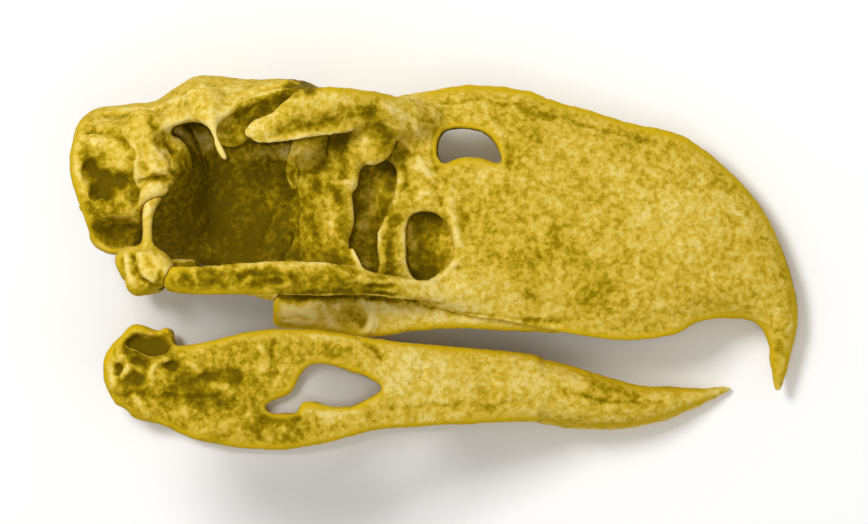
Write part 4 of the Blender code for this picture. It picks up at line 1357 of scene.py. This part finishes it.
@dataclass(frozen=True)
class Quadrate:
    """The loose bone that each side of the jaw hangs from: its body, knuckles and two arms."""

    low: Row = (15, 20, -8)
    high: Row = (70, 66, 60)
    knuckles: Lumps = (
        ((38.6, JOINT, 12), (10, 8, 9.5)), ((29.5, JOINT - 2, 14), (6.5, 6, 8.6)),
        ((30.5, JOINT - 3.5, 17.5), (5.5, 5, 4.2)), ((33, JOINT + 2, 4.6), (5.8, 5, 5.2)),
        ((37, JOINT - 9, 4.6), (5.5, 6, 4.6)), ((42, JOINT + 5, 11), (7.4, 5, 6.6)),
        ((25.6, JOINT - 3, 16.2), (4, 5, 4.6)), ((29.5, JOINT + 4, 6.6), (3.2, 3, 3)),
    )
    upper_arm: Rows = (
        (37, JOINT - 2, 14, 5.4, 4.5), (36.6, JOINT - 3, 22, 3, 3), (36.4, JOINT - 4, 31, 2.4, 2.8),
        (36.8, JOINT - 6, 39, 3, 3.2), (39.5, JOINT - 9, 46, 4, 4),
    )
    inner_arm: Rows = ((42, JOINT - 6, 13, 4, 3), (58, 30, 14.5, 3, 1.6))
    # Their tones paint highlights on ridges and lumps and shade in grooves and pits.
    strokes: tuple[Stroke, ...] = drawn(
        (1.8, 0.3, 0.35, 36.4, 40, 36.2, 24), (3, 0.7, 0.3, 40, 17.5, 44.5, 12, 38.5, 7.5, 35, 11.5),
        (1.3, -1.5, -0.75, 30.5, 18, 31.4, 12, 34, 8, 38.5, 4.6, 43, 3.6), (1.4, -1, -0.6, 43.4, 10, 42.6, 6.6),
        (1, 0.8, 0.3, 46, 12.6, 46.4, 8), (1.8, 1.1, 0.5, 29.6, 7), (1.4, 0.9, 0.4, 27, 18.4, 28.4, 12.5, 29.4, 9.8),
        (1.3, -1, -0.5, 24.2, 15, 25, 10.5, 26.4, 6.6), (1.2, 0.7, 0.35, 34, 19.5, 33.4, 14),
        (2, 0, -0.5, 28, 2.4, 38, 1.4, 48, 2.5), (1.2, -0.7, -0.4, 39.5, 22, 41, 18.5),
    )

    def bone(self, cell: float, skull: BoneField, gap: float) -> BoneField:
        """Builds the left quadrate.

        Args:
            cell: The size of the grid's cells.
            skull: The bone that it touches.
            gap: The room between the two.

        Returns:
            Its grid of distances.
        """
        made = BoneField(self.low, self.high, cell, even=False)
        for lump in self.knuckles:
            made.add(blob(*lump), blend=2.5)
        made.add(strap(self.upper_arm, flat="X"), blend=4.0)
        made.add(strap(self.inner_arm), blend=4.0)
        made.soften()
        made.keep_clear_of(skull, gap)
        return made


@dataclass(frozen=True)
class Pterygoid:
    """The loose rod from each quadrate to the palate."""

    low: Row = (32, 2, -12)
    high: Row = (108, 54, 22)
    rod: Rows = ((42, JOINT - 9, 9, 3.6, 3.2), (64, 25, 7, 3.2, 3), (98, 12, 0.5, 4.2, 2.4))
    # Its tone paints shade along a groove.
    strokes: tuple[Stroke, ...] = drawn(
        (1.2, -0.6, -0.3, 56, 8, 90, 2),
    )

    def bone(self, cell: float, skull: BoneField, quadrate: BoneField, gap: float) -> BoneField:
        """Builds the left pterygoid.

        Args:
            cell: The size of the grid's cells.
            skull: The bone that its front end touches.
            quadrate: The bone that its rear end touches.
            gap: The room left round it.

        Returns:
            Its grid of distances.
        """
        made = BoneField(self.low, self.high, cell, even=False)
        made.add(strap(self.rod), blend=3.0)
        made.keep_clear_of(skull, gap)
        made.keep_clear_of(quadrate, gap)
        return made


@dataclass(frozen=True)
class LowerJaw:
    """The lower jaw, whose bones have grown into one.

    The rami's rows are x, y, top z, bottom z and half thickness; the joined tip's are x, top z, bottom z, half width.
    """

    low: Row = (4, 0, -80)
    high: Row = (316, 66, -4)
    ramus: Rows = (
        (22, JOINT, -24, -50, 5), (40, JOINT, -23.5, -58.4, 5.2), (60, JOINT - 0.6, -21.5, -67, 4.6),
        (88, 45, -15.3, -71.2, 4.2), (115, 39, -15.5, -69, 4.2), (140, 32.5, -19.4, -62.4, 4.4),
        (170, 24, -22.4, -60, 4.8), (200, 15.5, -25, -58.2, 5.4), (216, 11, -27.6, -57.6, 6),
    )
    symphysis: Rows = (
        (198, -24.6, -57.8, 21), (214, -26, -57.8, 18.6), (232, -29.8, -60.8, 16.2), (254, -37.4, -61.2, 13),
        (274, -41.4, -57.2, 9.4), (292, -42, -50.2, 5.4), (303, -41.4, -45.2, 2.6), (309.6, -41.4, -42.8, 0.9),
    )
    trough: Rows = ((190, 0, -20, 15, 12), (228, 0, -26, 12, 7), (270, 0, -37.5, 6, 3.4))
    joint: Lumps = (
        ((25, JOINT - 2.5, -34.5), (10, 7.5, 15)), ((31, JOINT - 1.5, -25), (8.6, 8, 12)),
        ((38.5, JOINT - 3, -24.5), (8, 7.5, 8.4)), ((38, JOINT - 2, -42), (18, 7, 16)),
    )
    horn: Rows = ((44.2, JOINT - 1, -16.4, 2.6, 5), (44.6, JOINT - 1, -22, 2.8, 6), (44.4, JOINT - 1, -31, 3.6, 6))
    heel: Lump = ((21, JOINT, -56.2), (7, 16, 5.4))
    cup: Rows = (
        (29, -18.2), (33, -17.9), (38, -19.2), (45, -18), (45.4, -25.6), (41, -27.4), (36.4, -27.8), (31, -25.4),
        (25.6, -22.8),
    )
    cup_floor: float = JOINT - 1.0
    pits: Lumps = (((46.3, JOINT + 6.5, -32), (3.8, 5, 2.6)), ((22.6, JOINT + 6, -34), (2.6, 4.6, 3.4)))
    inner_arm: Rows = ((33, JOINT - 2, -31, 7, 6), (30, 33, -27, 4.5, 4))
    window: Rows = (
        (89.2, -51.2), (92.2, -54.1), (98, -54.4), (104.2, -54.2), (105.6, -52.2), (106.1, -49.4), (109, -48.7),
        (113.6, -49), (121, -51), (130.3, -50.5), (137.5, -47.3), (144.2, -42.8), (138.6, -38.2), (129, -34.6),
        (120.8, -32), (113.6, -31.4), (109.2, -32.8), (105.3, -38), (102.2, -43.8), (98, -46.6), (93.2, -48.4),
    )
    # The strokes' tones paint highlights along ridges and shade in grooves, pits and hollows, besides paler and darker
    # patches of bone.
    flank_strokes: tuple[Stroke, ...] = drawn(
        # Broad darker and paler patches.
        (18, 0, -0.34, 32, -46, 62, -48, 96, -60), (8, 0, -0.16, 76, -24, 100, -25, 125, -27),
        (18, 0, 0.12, 155, -40, 215, -42),
        # Joint block.
        (4.6, -0.4, -0.95, 28, -22, 35, -23.5, 43, -23), (1.8, 0.5, 0.4, 21, -21, 26, -18.5, 30, -15.5, 34, -15),
        (1.8, 0.4, 0.35, 42.5, -16, 45.5, -15.5), (1.7, 0.9, 0.55, 17.5, -23, 17, -31, 19, -38, 20, -43),
        (1, -0.6, -0.3, 20.5, -24, 20.5, -26.5), (1.8, -0.5, -0.7, 22.8, -32.5, 22.4, -35.5),
        (1.8, -1.2, -0.6, 25, -24.5, 29, -28, 33.5, -31.5), (1.7, -0.6, -0.4, 30, -36.5, 32.5, -38),
        (1.3, 0.8, 0.4, 24, -27, 27.5, -30, 26.5, -34, 24.5, -38), (1.8, -1.4, -0.55, 28, -29.5, 33, -31.5, 37, -31),
        (1.8, -0.8, -0.5, 28, -38.6, 34.5, -39), (1.6, 1.4, 0.5, 44.5, -27.8, 40, -31, 38, -35, 37.5, -40),
        (2, -0.4, -0.8, 44.5, -31.6, 47, -31.4, 48.5, -32.2), (1.5, 1, 0.4, 43, -36.5, 46.5, -40, 50, -35.5),
        # Side of the ramus.
        (2, 0.5, 0.3, 56, -31, 58, -34), (5, -1.2, -0.45, 50, -38, 56, -42, 60, -45),
        (3, -1.6, -0.5, 60, -37.5, 68, -36, 77, -36.5), (1.6, -1, -0.4, 74, -33.5, 78.5, -37.5),
        (2.4, 0.6, 0.35, 64, -42.5, 71, -42),
        (1.3, -0.8, -0.35, 20, -45.6, 33, -44.6, 47, -46.4, 60, -45.8, 75, -46.6),
        (2.6, 0.5, 0.35, 30, -47.5, 33, -50), (1.6, 0.4, 0.3, 33, -52, 35.5, -56),
        (1.5, 0.4, 0.3, 52.5, -53, 53, -56), (2.2, 0.4, 0.35, 83, -53, 84, -57), (1.6, -0.7, -0.35, 69, -50, 72, -50),
        (1.5, -0.6, -0.3, 61, -50), (2.4, 0.4, 0.3, 71, -58, 77, -62), (2.4, 0, -0.4, 60, -66, 68, -67.5),
        (1.8, 0.5, 0.55, 110, -17.6, 122, -18.8, 134, -20.6), (1.9, -0.9, -0.4, 134, -19.5, 139, -23.5, 144, -28.5),
        (1.1, -0.8, -0.4, 93.5, -21, 93, -28, 94.8, -36), (1.8, 0.5, 0.3, 88, -24, 90.5, -30, 86, -36),
        (1.5, 0.5, 0.3, 97, -32, 96.5, -40), (1.8, -0.6, -0.5, 90, -56.5, 98, -57.4, 107, -57),
        (1.8, 0.4, 0.3, 108, -53.2, 120, -55, 134, -53), (1.6, 0.5, 0.3, 91, -61, 92, -65),
        (1.8, 0.5, 0.3, 99, -61, 102, -64), (5, 0.3, 0.2, 150, -40, 156, -34, 158, -26),
        (1.3, -0.6, -0.25, 150, -52, 168, -50.6, 190, -50.6, 215, -48.5),
        # Tip.
        (4, -0.3, -0.35, 243, -40, 252, -44, 262, -46.5), (1.2, 0.2, 0.4, 286, -43.8, 300, -43.4),
        (1.2, -0.7, -0.3, 225, -42, 250, -49, 275, -49.5),
    )
    # Their tones paint highlight on a ridge and shade in a groove.
    under_strokes: tuple[Stroke, ...] = drawn(
        (1.4, 0.6, 0.25, 205, 0, 250, 0, 300, 0), (1.2, -0.7, -0.3, 215, 9, 260, 7),
    )
    stands_for: tuple[str, ...] = (
        "mandible_tip", "dentary_left", "dentary_right", "surangular_left", "surangular_right", "angular_left",
        "angular_right", "articular_left", "articular_right",
    )

    def symphysis_skin(self) -> Skin:
        """The tip where the two sides are one.

        Returns:
            Its skin.
        """
        turns = full_turn(48)
        rise = blunted(np.cos(turns), power=0.8)
        rings = [
            np.column_stack(
                [np.full(len(turns), x), width * np.sin(turns), (top + bottom) / 2 + (top - bottom) / 2 * rise]
            )
            for x, top, bottom, width in smooth_rows(self.symphysis, count=80)
        ]
        return skin_of_rings(np.array(rings))

    def bone(self, cell: float) -> BoneField:
        """Builds the jaw.

        Args:
            cell: The size of the grid's cells.

        Returns:
            Its grid of distances.
        """
        made = BoneField(self.low, self.high, cell, even=True)
        made.add(blade(self.ramus, stations=90), blend=1.0)
        for lump in self.joint:
            made.add(blob(*lump), blend=4.0)
        made.add(strap(self.horn, flat="X"), blend=1.5)
        made.add(strap(self.inner_arm), blend=4.0)
        made.add(self.symphysis_skin(), blend=5.0)
        made.cut(strap(self.trough), blend=3.0)
        made.cut(prism(self.window, 0.0, FAR), blend=1.5)
        made.cut(prism(self.cup, self.cup_floor, FAR), blend=1.5)
        for lump in (*self.pits, self.heel):
            made.cut(blob(*lump), blend=1.5)
        made.soften()
        return made

    def reliefs(self) -> tuple[Relief, ...]:
        """The strokes on its faces."""
        return Relief(Facing.SIDE, self.flank_strokes), Relief(Facing.UNDER, self.under_strokes)


@dataclass(frozen=True)
class Resting:
    """How a bone lies: the dip of its front end and the roll of its top from square on its side, and its place.

    Args:
        dip: In degrees.
        roll: In degrees.
        place: Where the origin of the standing bone comes to lie, in metres.
    """

    dip: float
    roll: float
    place: Row

    def matrix(self) -> Matrix:
        """Works out how the bone is laid down.

        Returns:
            The turn and place that lay it down.
        """
        dip, roll = math.radians(self.dip), math.radians(self.roll)
        down = Vector((math.sin(dip), math.cos(dip), math.sin(roll)))
        side_down = Matrix.Rotation(math.radians(-90.0), 3, "X")
        turn = (side_down @ down).rotation_difference(Vector((0.0, 0.0, -1.0))).to_matrix()
        return Matrix.Translation(self.place) @ (turn @ side_down).to_4x4()


class Signal:
    """A value in a material, for writing its maths as an expression.

    Args:
        palette: The palette that it belongs to.
        socket: The output that it comes from.
    """

    def __init__(self, palette: Palette, socket: bpy.types.NodeSocket) -> None:
        """Wraps the output."""
        self.palette = palette
        self.socket = socket

    def _with(self, operation: str, first: Signal | float, second: Signal | float) -> Signal:
        """Adds one sum to the material.

        Args:
            operation: What is done with the two.
            first: The first value.
            second: The second value.

        Returns:
            The result.
        """
        made = self.palette.node("ShaderNodeMath", {"operation": operation}, {0: first, 1: second})
        return Signal(self.palette, made.outputs[0])

    def __add__(self, other: Signal | float) -> Signal:
        """The sum of the two."""
        return self._with("ADD", self, other)

    __radd__ = __add__

    def __mul__(self, other: Signal | float) -> Signal:
        """The product of the two."""
        return self._with("MULTIPLY", self, other)

    __rmul__ = __mul__

    def __sub__(self, other: Signal | float) -> Signal:
        """The difference of the two."""
        return self._with("SUBTRACT", self, other)

    def __rsub__(self, other: Signal | float) -> Signal:
        """The difference, the other way round."""
        return self._with("SUBTRACT", other, self)

    def eased(self, low: float, high: float) -> Signal:
        """A smooth step.

        Args:
            low: The value up to which it is 0.
            high: The value from which it is 1.

        Returns:
            The step.
        """
        settings = {"interpolation_type": "SMOOTHSTEP"}
        made = self.palette.node("ShaderNodeMapRange", settings, {0: self, 1: low, 2: high})
        return Signal(self.palette, made.outputs[0])


class Palette:
    """The nodes of one material.

    Args:
        name: The material's name.
    """

    def __init__(self, name: str) -> None:
        """Makes the material with only its shader."""
        self.material = bpy.data.materials.new(name)
        self.material.use_nodes = True
        self.tree = self.material.node_tree
        self.shader = self.tree.nodes["Principled BSDF"]

    def node(
        self,
        kind: str,
        settings: dict[str, Any] | None = None,
        sockets: dict[str | int, Any] | None = None,
    ) -> bpy.types.Node:
        """Adds a node.

        Args:
            kind: Its type.
            settings: Its own settings, set first; stops are a colour ramp's places and colours.
            sockets: Values or links of its inputs.

        Returns:
            The node.
        """
        made = self.tree.nodes.new(kind)
        for name, value in (settings or {}).items():
            if name == "stops":
                self._stops(made.color_ramp, value)
            else:
                setattr(made, name, value)
        for name, value in (sockets or {}).items():
            self.feed(made.inputs[name], value)
        return made

    def feed(self, socket: bpy.types.NodeSocket, value: Any) -> None:
        """Gives an input a value or a link.

        Args:
            socket: The input.
            value: A number, a colour, an output or a signal.
        """
        if isinstance(value, Signal):
            self.tree.links.new(value.socket, socket)
        elif isinstance(value, bpy.types.NodeSocket):
            self.tree.links.new(value, socket)
        else:
            socket.default_value = value

    @staticmethod
    def _stops(ramp: bpy.types.ColorRamp, stops: tuple[tuple[float, Row], ...]) -> None:
        """Sets the places and colours of a ramp.

        Args:
            ramp: The ramp.
            stops: Each place with its colour.
        """
        while len(ramp.elements) < len(stops):
            ramp.elements.new(1.0)
        for element, (place, colour) in zip(ramp.elements, stops):
            element.position = place
            element.color = (*colour, 1.0)

    def painted(self, name: str) -> Signal:
        """A value that the mesh carries for each of its points."""
        made = self.node("ShaderNodeAttribute", {"attribute_name": name})
        return Signal(self, made.outputs["Fac"])

    def noise(self, place: bpy.types.NodeSocket, size: float, detail: float, rough: float = 0.5) -> Signal:
        """Cloudy noise.

        Args:
            place: Where it is read.
            size: The length of its waves, in millimetres.
            detail: How many finer waves are added.
            rough: How strong those are.

        Returns:
            Its value, about 0.5 on average.
        """
        sockets = {"Vector": place, "Scale": 1.0 / (size * MM), "Detail": detail, "Roughness": rough}
        return Signal(self, self.node("ShaderNodeTexNoise", {}, sockets).outputs["Fac"])

    def mixed(self, first: bpy.types.NodeSocket, second: Row, share: Signal) -> bpy.types.NodeSocket:
        """Mixes a second colour into a first.

        Args:
            first: The first colour.
            second: The second colour.
            share: How much of the mixture is the second, from 0 to 1.

        Returns:
            The mixture.
        """
        sockets = {0: share, 6: first, 7: (*second, 1.0)}
        return self.node("ShaderNodeMix", {"data_type": "RGBA"}, sockets).outputs[2]

    def cracks(self, place: bpy.types.NodeSocket, size: float) -> Signal:
        """A net of fine cracks, broken up so that few run on for long.

        Args:
            place: Where it is read.
            size: How far apart the cracks are, in millimetres.

        Returns:
            1 in a crack, 0 away from them.
        """
        bend, bend_size = 0.6, 2.0  # how far cracks stray and over what length, in sizes
        width, gap_size, gaps = 0.05, 1.5, (0.46, 0.6)
        sockets = {"Vector": place, "Scale": 1.0 / (bend_size * size * MM), "Detail": 3.0}
        bent = self.node("ShaderNodeTexNoise", {}, sockets).outputs["Color"]
        sockets = {0: bent, "Scale": bend * size * MM}
        shift = self.node("ShaderNodeVectorMath", {"operation": "SCALE"}, sockets).outputs[0]
        moved = self.node("ShaderNodeVectorMath", {"operation": "ADD"}, {0: place, 1: shift}).outputs[0]
        sockets = {"Vector": moved, "Scale": 1.0 / (size * MM)}
        net = self.node("ShaderNodeTexVoronoi", {"feature": "DISTANCE_TO_EDGE"}, sockets)
        lines = 1.0 - Signal(self, net.outputs["Distance"]).eased(0.0, width)
        return lines * self.noise(place, gap_size * size, 1.0).eased(*gaps)

    def cells(self, place: bpy.types.NodeSocket, size: float) -> Signal:
        """Distance to the nearest of many scattered points.

        Args:
            place: Where it is read.
            size: How far apart the points are, in millimetres.

        Returns:
            The distance, from 0 at a point to about 1.
        """
        sockets = {"Vector": place, "Scale": 1.0 / (size * MM)}
        return Signal(self, self.node("ShaderNodeTexVoronoi", {}, sockets).outputs["Distance"])


@dataclass(frozen=True)
class OldBone:
    """The finish of bone that has lain in yellow ground: mottled ochre, with painted highlights on its crests, painted
    shade in its grooves and hollows, and painted edge shade along its outline as seen from the side.

    Args:
        name: The material's name.
        stops: Its colours from the darkest, painted as shade in the deepest hollows, to the palest, painted as
            highlight on crests.
        margin: Its colour along the outline of each bone as seen from the side, a deeper ochre painted as edge shade.
        base: How pale the bone is on the whole.
        clouds: The sizes of its soft clouds in millimetres, each with its strength.
        patches: The sizes of its sharper patches in millimetres, each with its strength.
        patch_edge: From which to which value of the noise a patch comes up.
        crests: How much paler crests are, and grooves darker, as painted highlight and painted shade.
        near: From which to which share of bone round a point it is shut in, and how much darker it is then painted, as
            painted shade.
        deep: The same, for what lies further off.
        sunk: How much darker the deepest hollows are painted, as painted shade.
        marks: How strongly the strokes' tones show, with their painted highlights and painted shade.
        crack_size: How far apart its cracks are, in millimetres.
        crack_stain: How much darker they are.
        crack_depth: How deep they are, in grains.
        outline_shade_share: How strongly the painted edge shade shows along the outline, how much hollows and pale
            patches take from that, and how much pale strokes add.
        wear: The size of its worn places in millimetres, and from which to which value they turn rough.
        grit: The size of its finest grain in millimetres, and how much of its patches stands out with it.
        pores: The distance between its pores in millimetres, and from where to where each fades.
        pore_depth: How deep they are, in grains.
        roughness: Of the smoothest and the roughest bone.
        grain: The height of its finest grain, in metres.
        gloss: Its specular level.
    """

    name: str = "old_bone"
    stops: tuple[tuple[float, Row], ...] = (
        (0, (0.122, 0.08, 0.001)), (0.2, (0.195, 0.13, 0.001)), (0.4, (0.33, 0.222, 0.003)),
        (0.6, (0.53, 0.362, 0.023)), (0.75, (0.63, 0.445, 0.058)), (0.88, (0.69, 0.52, 0.118)),
        (1, (0.74, 0.59, 0.18)),
    )
    margin: Row = (0.56, 0.37, 0.006)
    base: float = 0.66
    clouds: tuple[Pair, ...] = ((34, 0.34), (12, 0.26))
    patches: tuple[Pair, ...] = ((6.5, 0.12), (3, 0.2), (1.7, 0.12))
    patch_edge: Pair = (0.36, 0.64)
    crests: float = 0.5
    near: Row = (0.3, 0.85, 0.25)
    deep: Row = (0.35, 0.8, 0.3)
    sunk: float = 0.55
    marks: float = 0.8
    crack_size: float = 6.0
    crack_stain: float = 0.05
    crack_depth: float = 0.45
    outline_shade_share: Row = (1.1, 1.1, 0.8, 0.6)
    wear: Row = (6.0, 0.3, 0.7)
    grit: Pair = (1.1, 1.2)
    pores: Row = (1.7, 0.05, 0.32)
    pore_depth: float = 0.4
    roughness: Pair = (0.55, 0.8)
    grain: float = 0.00028
    gloss: float = 0.02

    def material(self) -> bpy.types.Material:
        """Makes the material.

        Returns:
            The material.
        """
        palette = Palette(self.name)
        place = palette.node("ShaderNodeTexCoord").outputs["Object"]
        clouds: Signal | float = 0.0
        for size, strength in self.clouds:
            clouds = clouds + (palette.noise(place, size, 2.0) - 0.5) * strength
        patches: Signal | float = 0.0
        for size, strength in self.patches:
            patches = patches + (palette.noise(place, size, 1.0).eased(*self.patch_edge) - 0.5) * strength
        # Painted highlight on crests and painted shade in creases: paler where little bone lies round a point, darker
        # where much does.
        crests = (0.5 - palette.painted("edge")) * self.crests
        # Painted shade in hollows: the more bone round a point, the darker it is painted.
        near, deep = (
            palette.painted(name).eased(low, high) * strength
            for name, (low, high, strength) in {"near": self.near, "deep": self.deep}.items()
        )
        # sunk is painted shade in deep hollows; marks carry the strokes' painted highlights, painted shade and tone.
        sunk, marks = palette.painted("sunk"), palette.painted("tone")
        cracks = palette.cracks(place, self.crack_size)
        # The tone adds the random mottling to the painted highlights and shade of crests, hollows and strokes.
        tone = clouds + patches + crests + marks * self.marks - (near + deep) - sunk * self.sunk
        tone = tone - cracks * self.crack_stain + self.base
        ramp = palette.node("ShaderNodeValToRGB", {"stops": self.stops}, {"Fac": tone})
        # Painted edge shade: a deeper ochre mixed in along the outline as seen from the side.
        most, hollows, pale, paler = self.outline_shade_share
        outline_shaded = palette.painted("margin") * (most - sunk * hollows - patches * pale + marks * paler)
        palette.feed(palette.shader.inputs["Base Color"], palette.mixed(ramp.outputs["Color"], self.margin, outline_shaded))
        smooth, rough = self.roughness
        size, smoothest, roughest = self.wear
        wear = palette.noise(place, size, 3.0, 0.6).eased(smoothest, roughest)
        palette.feed(palette.shader.inputs["Roughness"], wear * (rough - smooth) + smooth)
        apart, shut, gone = self.pores
        pores = 1.0 - palette.cells(place, apart).eased(shut, gone)
        size, standing = self.grit
        fine = palette.noise(place, size, 3.0, 0.55) + patches * standing
        fine = fine - pores * self.pore_depth - cracks * self.crack_depth
        bump = palette.node("ShaderNodeBump", {}, {"Height": fine, "Distance": self.grain, "Strength": 1.0})
        palette.feed(palette.shader.inputs["Normal"], bump.outputs["Normal"])
        palette.feed(palette.shader.inputs["Specular IOR Level"], self.gloss)
        return palette.material


@dataclass(frozen=True)
class Studio:
    """Camera, lights and floor.

    Args:
        lens: The camera's focal length, in millimetres.
        sensor: The width of its sensor.
        view_width: How wide a stretch of the skull's middle plane it sees, in millimetres.
        view_middle: The point (x, z) of the standing skull that it looks at.
        floor_size: The floor's side, in metres.
        floor_colour: Its colour.
        floor_roughness: Its roughness.
        key: The main light's place and side in metres, and its power in watts.
        fill: The same, for the light that opens the shadows.
        sky: The strength of the even light from all round.
    """

    lens: float = 400.0
    sensor: float = 36.0
    view_width: float = 403.5
    view_middle: Row = (168.3, 15.3)
    floor_size: float = 8.0
    floor_colour: Row = (0.89, 0.89, 0.88)
    floor_roughness: float = 0.9
    key: tuple[Row, float, float] = ((-0.4, 0.55, 1.25), 0.5, 12.8)
    fill: tuple[Row, float, float] = ((0.45, -0.35, 1.4), 0.8, 3.6)
    sky: float = 0.52

    def camera(self, skull_rest: Matrix) -> None:
        """Puts the camera square on to the skull's side.

        Args:
            skull_rest: Where the skull lies.
        """
        made = bpy.data.cameras.new("camera")
        made.lens = self.lens
        made.sensor_width = self.sensor
        made.clip_end = 100.0
        obj = in_scene("camera", made)
        turn = skull_rest.to_3x3()
        sight, up = turn @ Vector((0.0, 1.0, 0.0)), turn @ Vector((0.0, 0.0, 1.0))
        right = sight.cross(up).normalized()
        up = right.cross(sight)
        target = skull_rest @ (Vector((self.view_middle[0], 0.0, self.view_middle[1])) * MM)
        place = Matrix((right, up, -sight)).transposed().to_4x4()
        place.translation = target - sight * (self.view_width * MM * self.lens / self.sensor)
        obj.matrix_world = place
        bpy.context.scene.camera = obj

    def light(self, name: str, place: Row, size: float, watts: float) -> None:
        """Hangs a square soft light that points at the bones.

        Args:
            name: Its name.
            place: Where it hangs, in metres.
            size: Its side.
            watts: Its power.
        """
        made = bpy.data.lights.new(name, "AREA")
        made.size = size
        made.energy = watts
        obj = in_scene(name, made)
        obj.location = place
        obj.rotation_euler = (-Vector(place)).to_track_quat("-Z", "Y").to_euler()

    def floor(self) -> None:
        """Lays a plain pale floor."""
        half = self.floor_size / 2
        corners = np.array([(-half, -half, 0.0), (half, -half, 0.0), (half, half, 0.0), (-half, half, 0.0)])
        floor = new_piece("floor", corners, np.array([[0, 1, 2, 3]]))
        finish = Palette("pale_floor")
        finish.feed(finish.shader.inputs["Base Color"], (*self.floor_colour, 1.0))
        finish.feed(finish.shader.inputs["Roughness"], self.floor_roughness)
        floor.data.materials.append(finish.material)

    def world(self) -> None:
        """Fills the room with even white light."""
        made = bpy.data.worlds.new("studio")
        made.use_nodes = True
        background = made.node_tree.nodes["Background"]
        background.inputs["Color"].default_value = (1.0, 1.0, 1.0, 1.0)
        background.inputs["Strength"].default_value = self.sky
        bpy.context.scene.world = made
        bpy.context.scene.view_settings.view_transform = "Standard"

    def set_up(self, skull_rest: Matrix) -> None:
        """Makes all of it.

        Args:
            skull_rest: Where the skull lies.
        """
        self.camera(skull_rest)
        self.light("key", *self.key)
        self.light("fill", *self.fill)
        self.floor()
        self.world()


@dataclass(frozen=True)
class BonesAtRest:
    """The whole of it: the skull's bones and the lower jaw, each as it lies."""

    skull_rest: Resting = Resting(11.35, -0.37, (-0.16184, -0.01529, 0.07443))
    jaw_rest: Resting = Resting(12.1, 0.38, (-0.16343, -0.01601, 0.06618))
    gap: float = 0.35
    finish: OldBone = OldBone()

    def build(self) -> None:
        """Makes every bone and puts it in its place."""
        material = self.finish.material()
        skull, quadrate, pterygoid, jaw = Skull(), Quadrate(), Pterygoid(), LowerJaw()
        skull_bone = skull.bone()
        quadrate_bone = quadrate.bone(skull.cell, skull_bone, self.gap)
        pterygoid_bone = pterygoid.bone(skull.cell, skull_bone, quadrate_bone, self.gap)
        skull_rest, jaw_rest = self.skull_rest.matrix(), self.jaw_rest.matrix()
        Sculpture("skull", skull_bone, skull.reliefs(), seed=11).make(skull_rest, material, skull.stands_for)
        for name, side in SIDES.items():
            for part, bone, strokes in (
                ("quadrate", quadrate_bone, quadrate.strokes),
                ("pterygoid", pterygoid_bone, pterygoid.strokes),
            ):
                reliefs = (Relief(Facing.SIDE, strokes),)
                # The loose bones carry less painted edge shade along their outlines.
                loose = Sculpture(f"{part}_bone_{name}", bone, reliefs, seed=31, side=side, outline_shading=0.55)
                loose.make(skull_rest, material, (f"{part}_{name}",))
        Sculpture("lower_jaw", jaw.bone(skull.cell), jaw.reliefs(), seed=51).make(jaw_rest, material, jaw.stands_for)


def main() -> None:
    """Builds the bones and the studio; each piece notes its number of faces as it is made."""
    logging.basicConfig(level=logging.INFO, format="%(message)s")
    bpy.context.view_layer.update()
    bones = BonesAtRest()
    bones.build()
    Studio().set_up(bones.skull_rest.matrix())


if __name__ == "__main__":
    main()
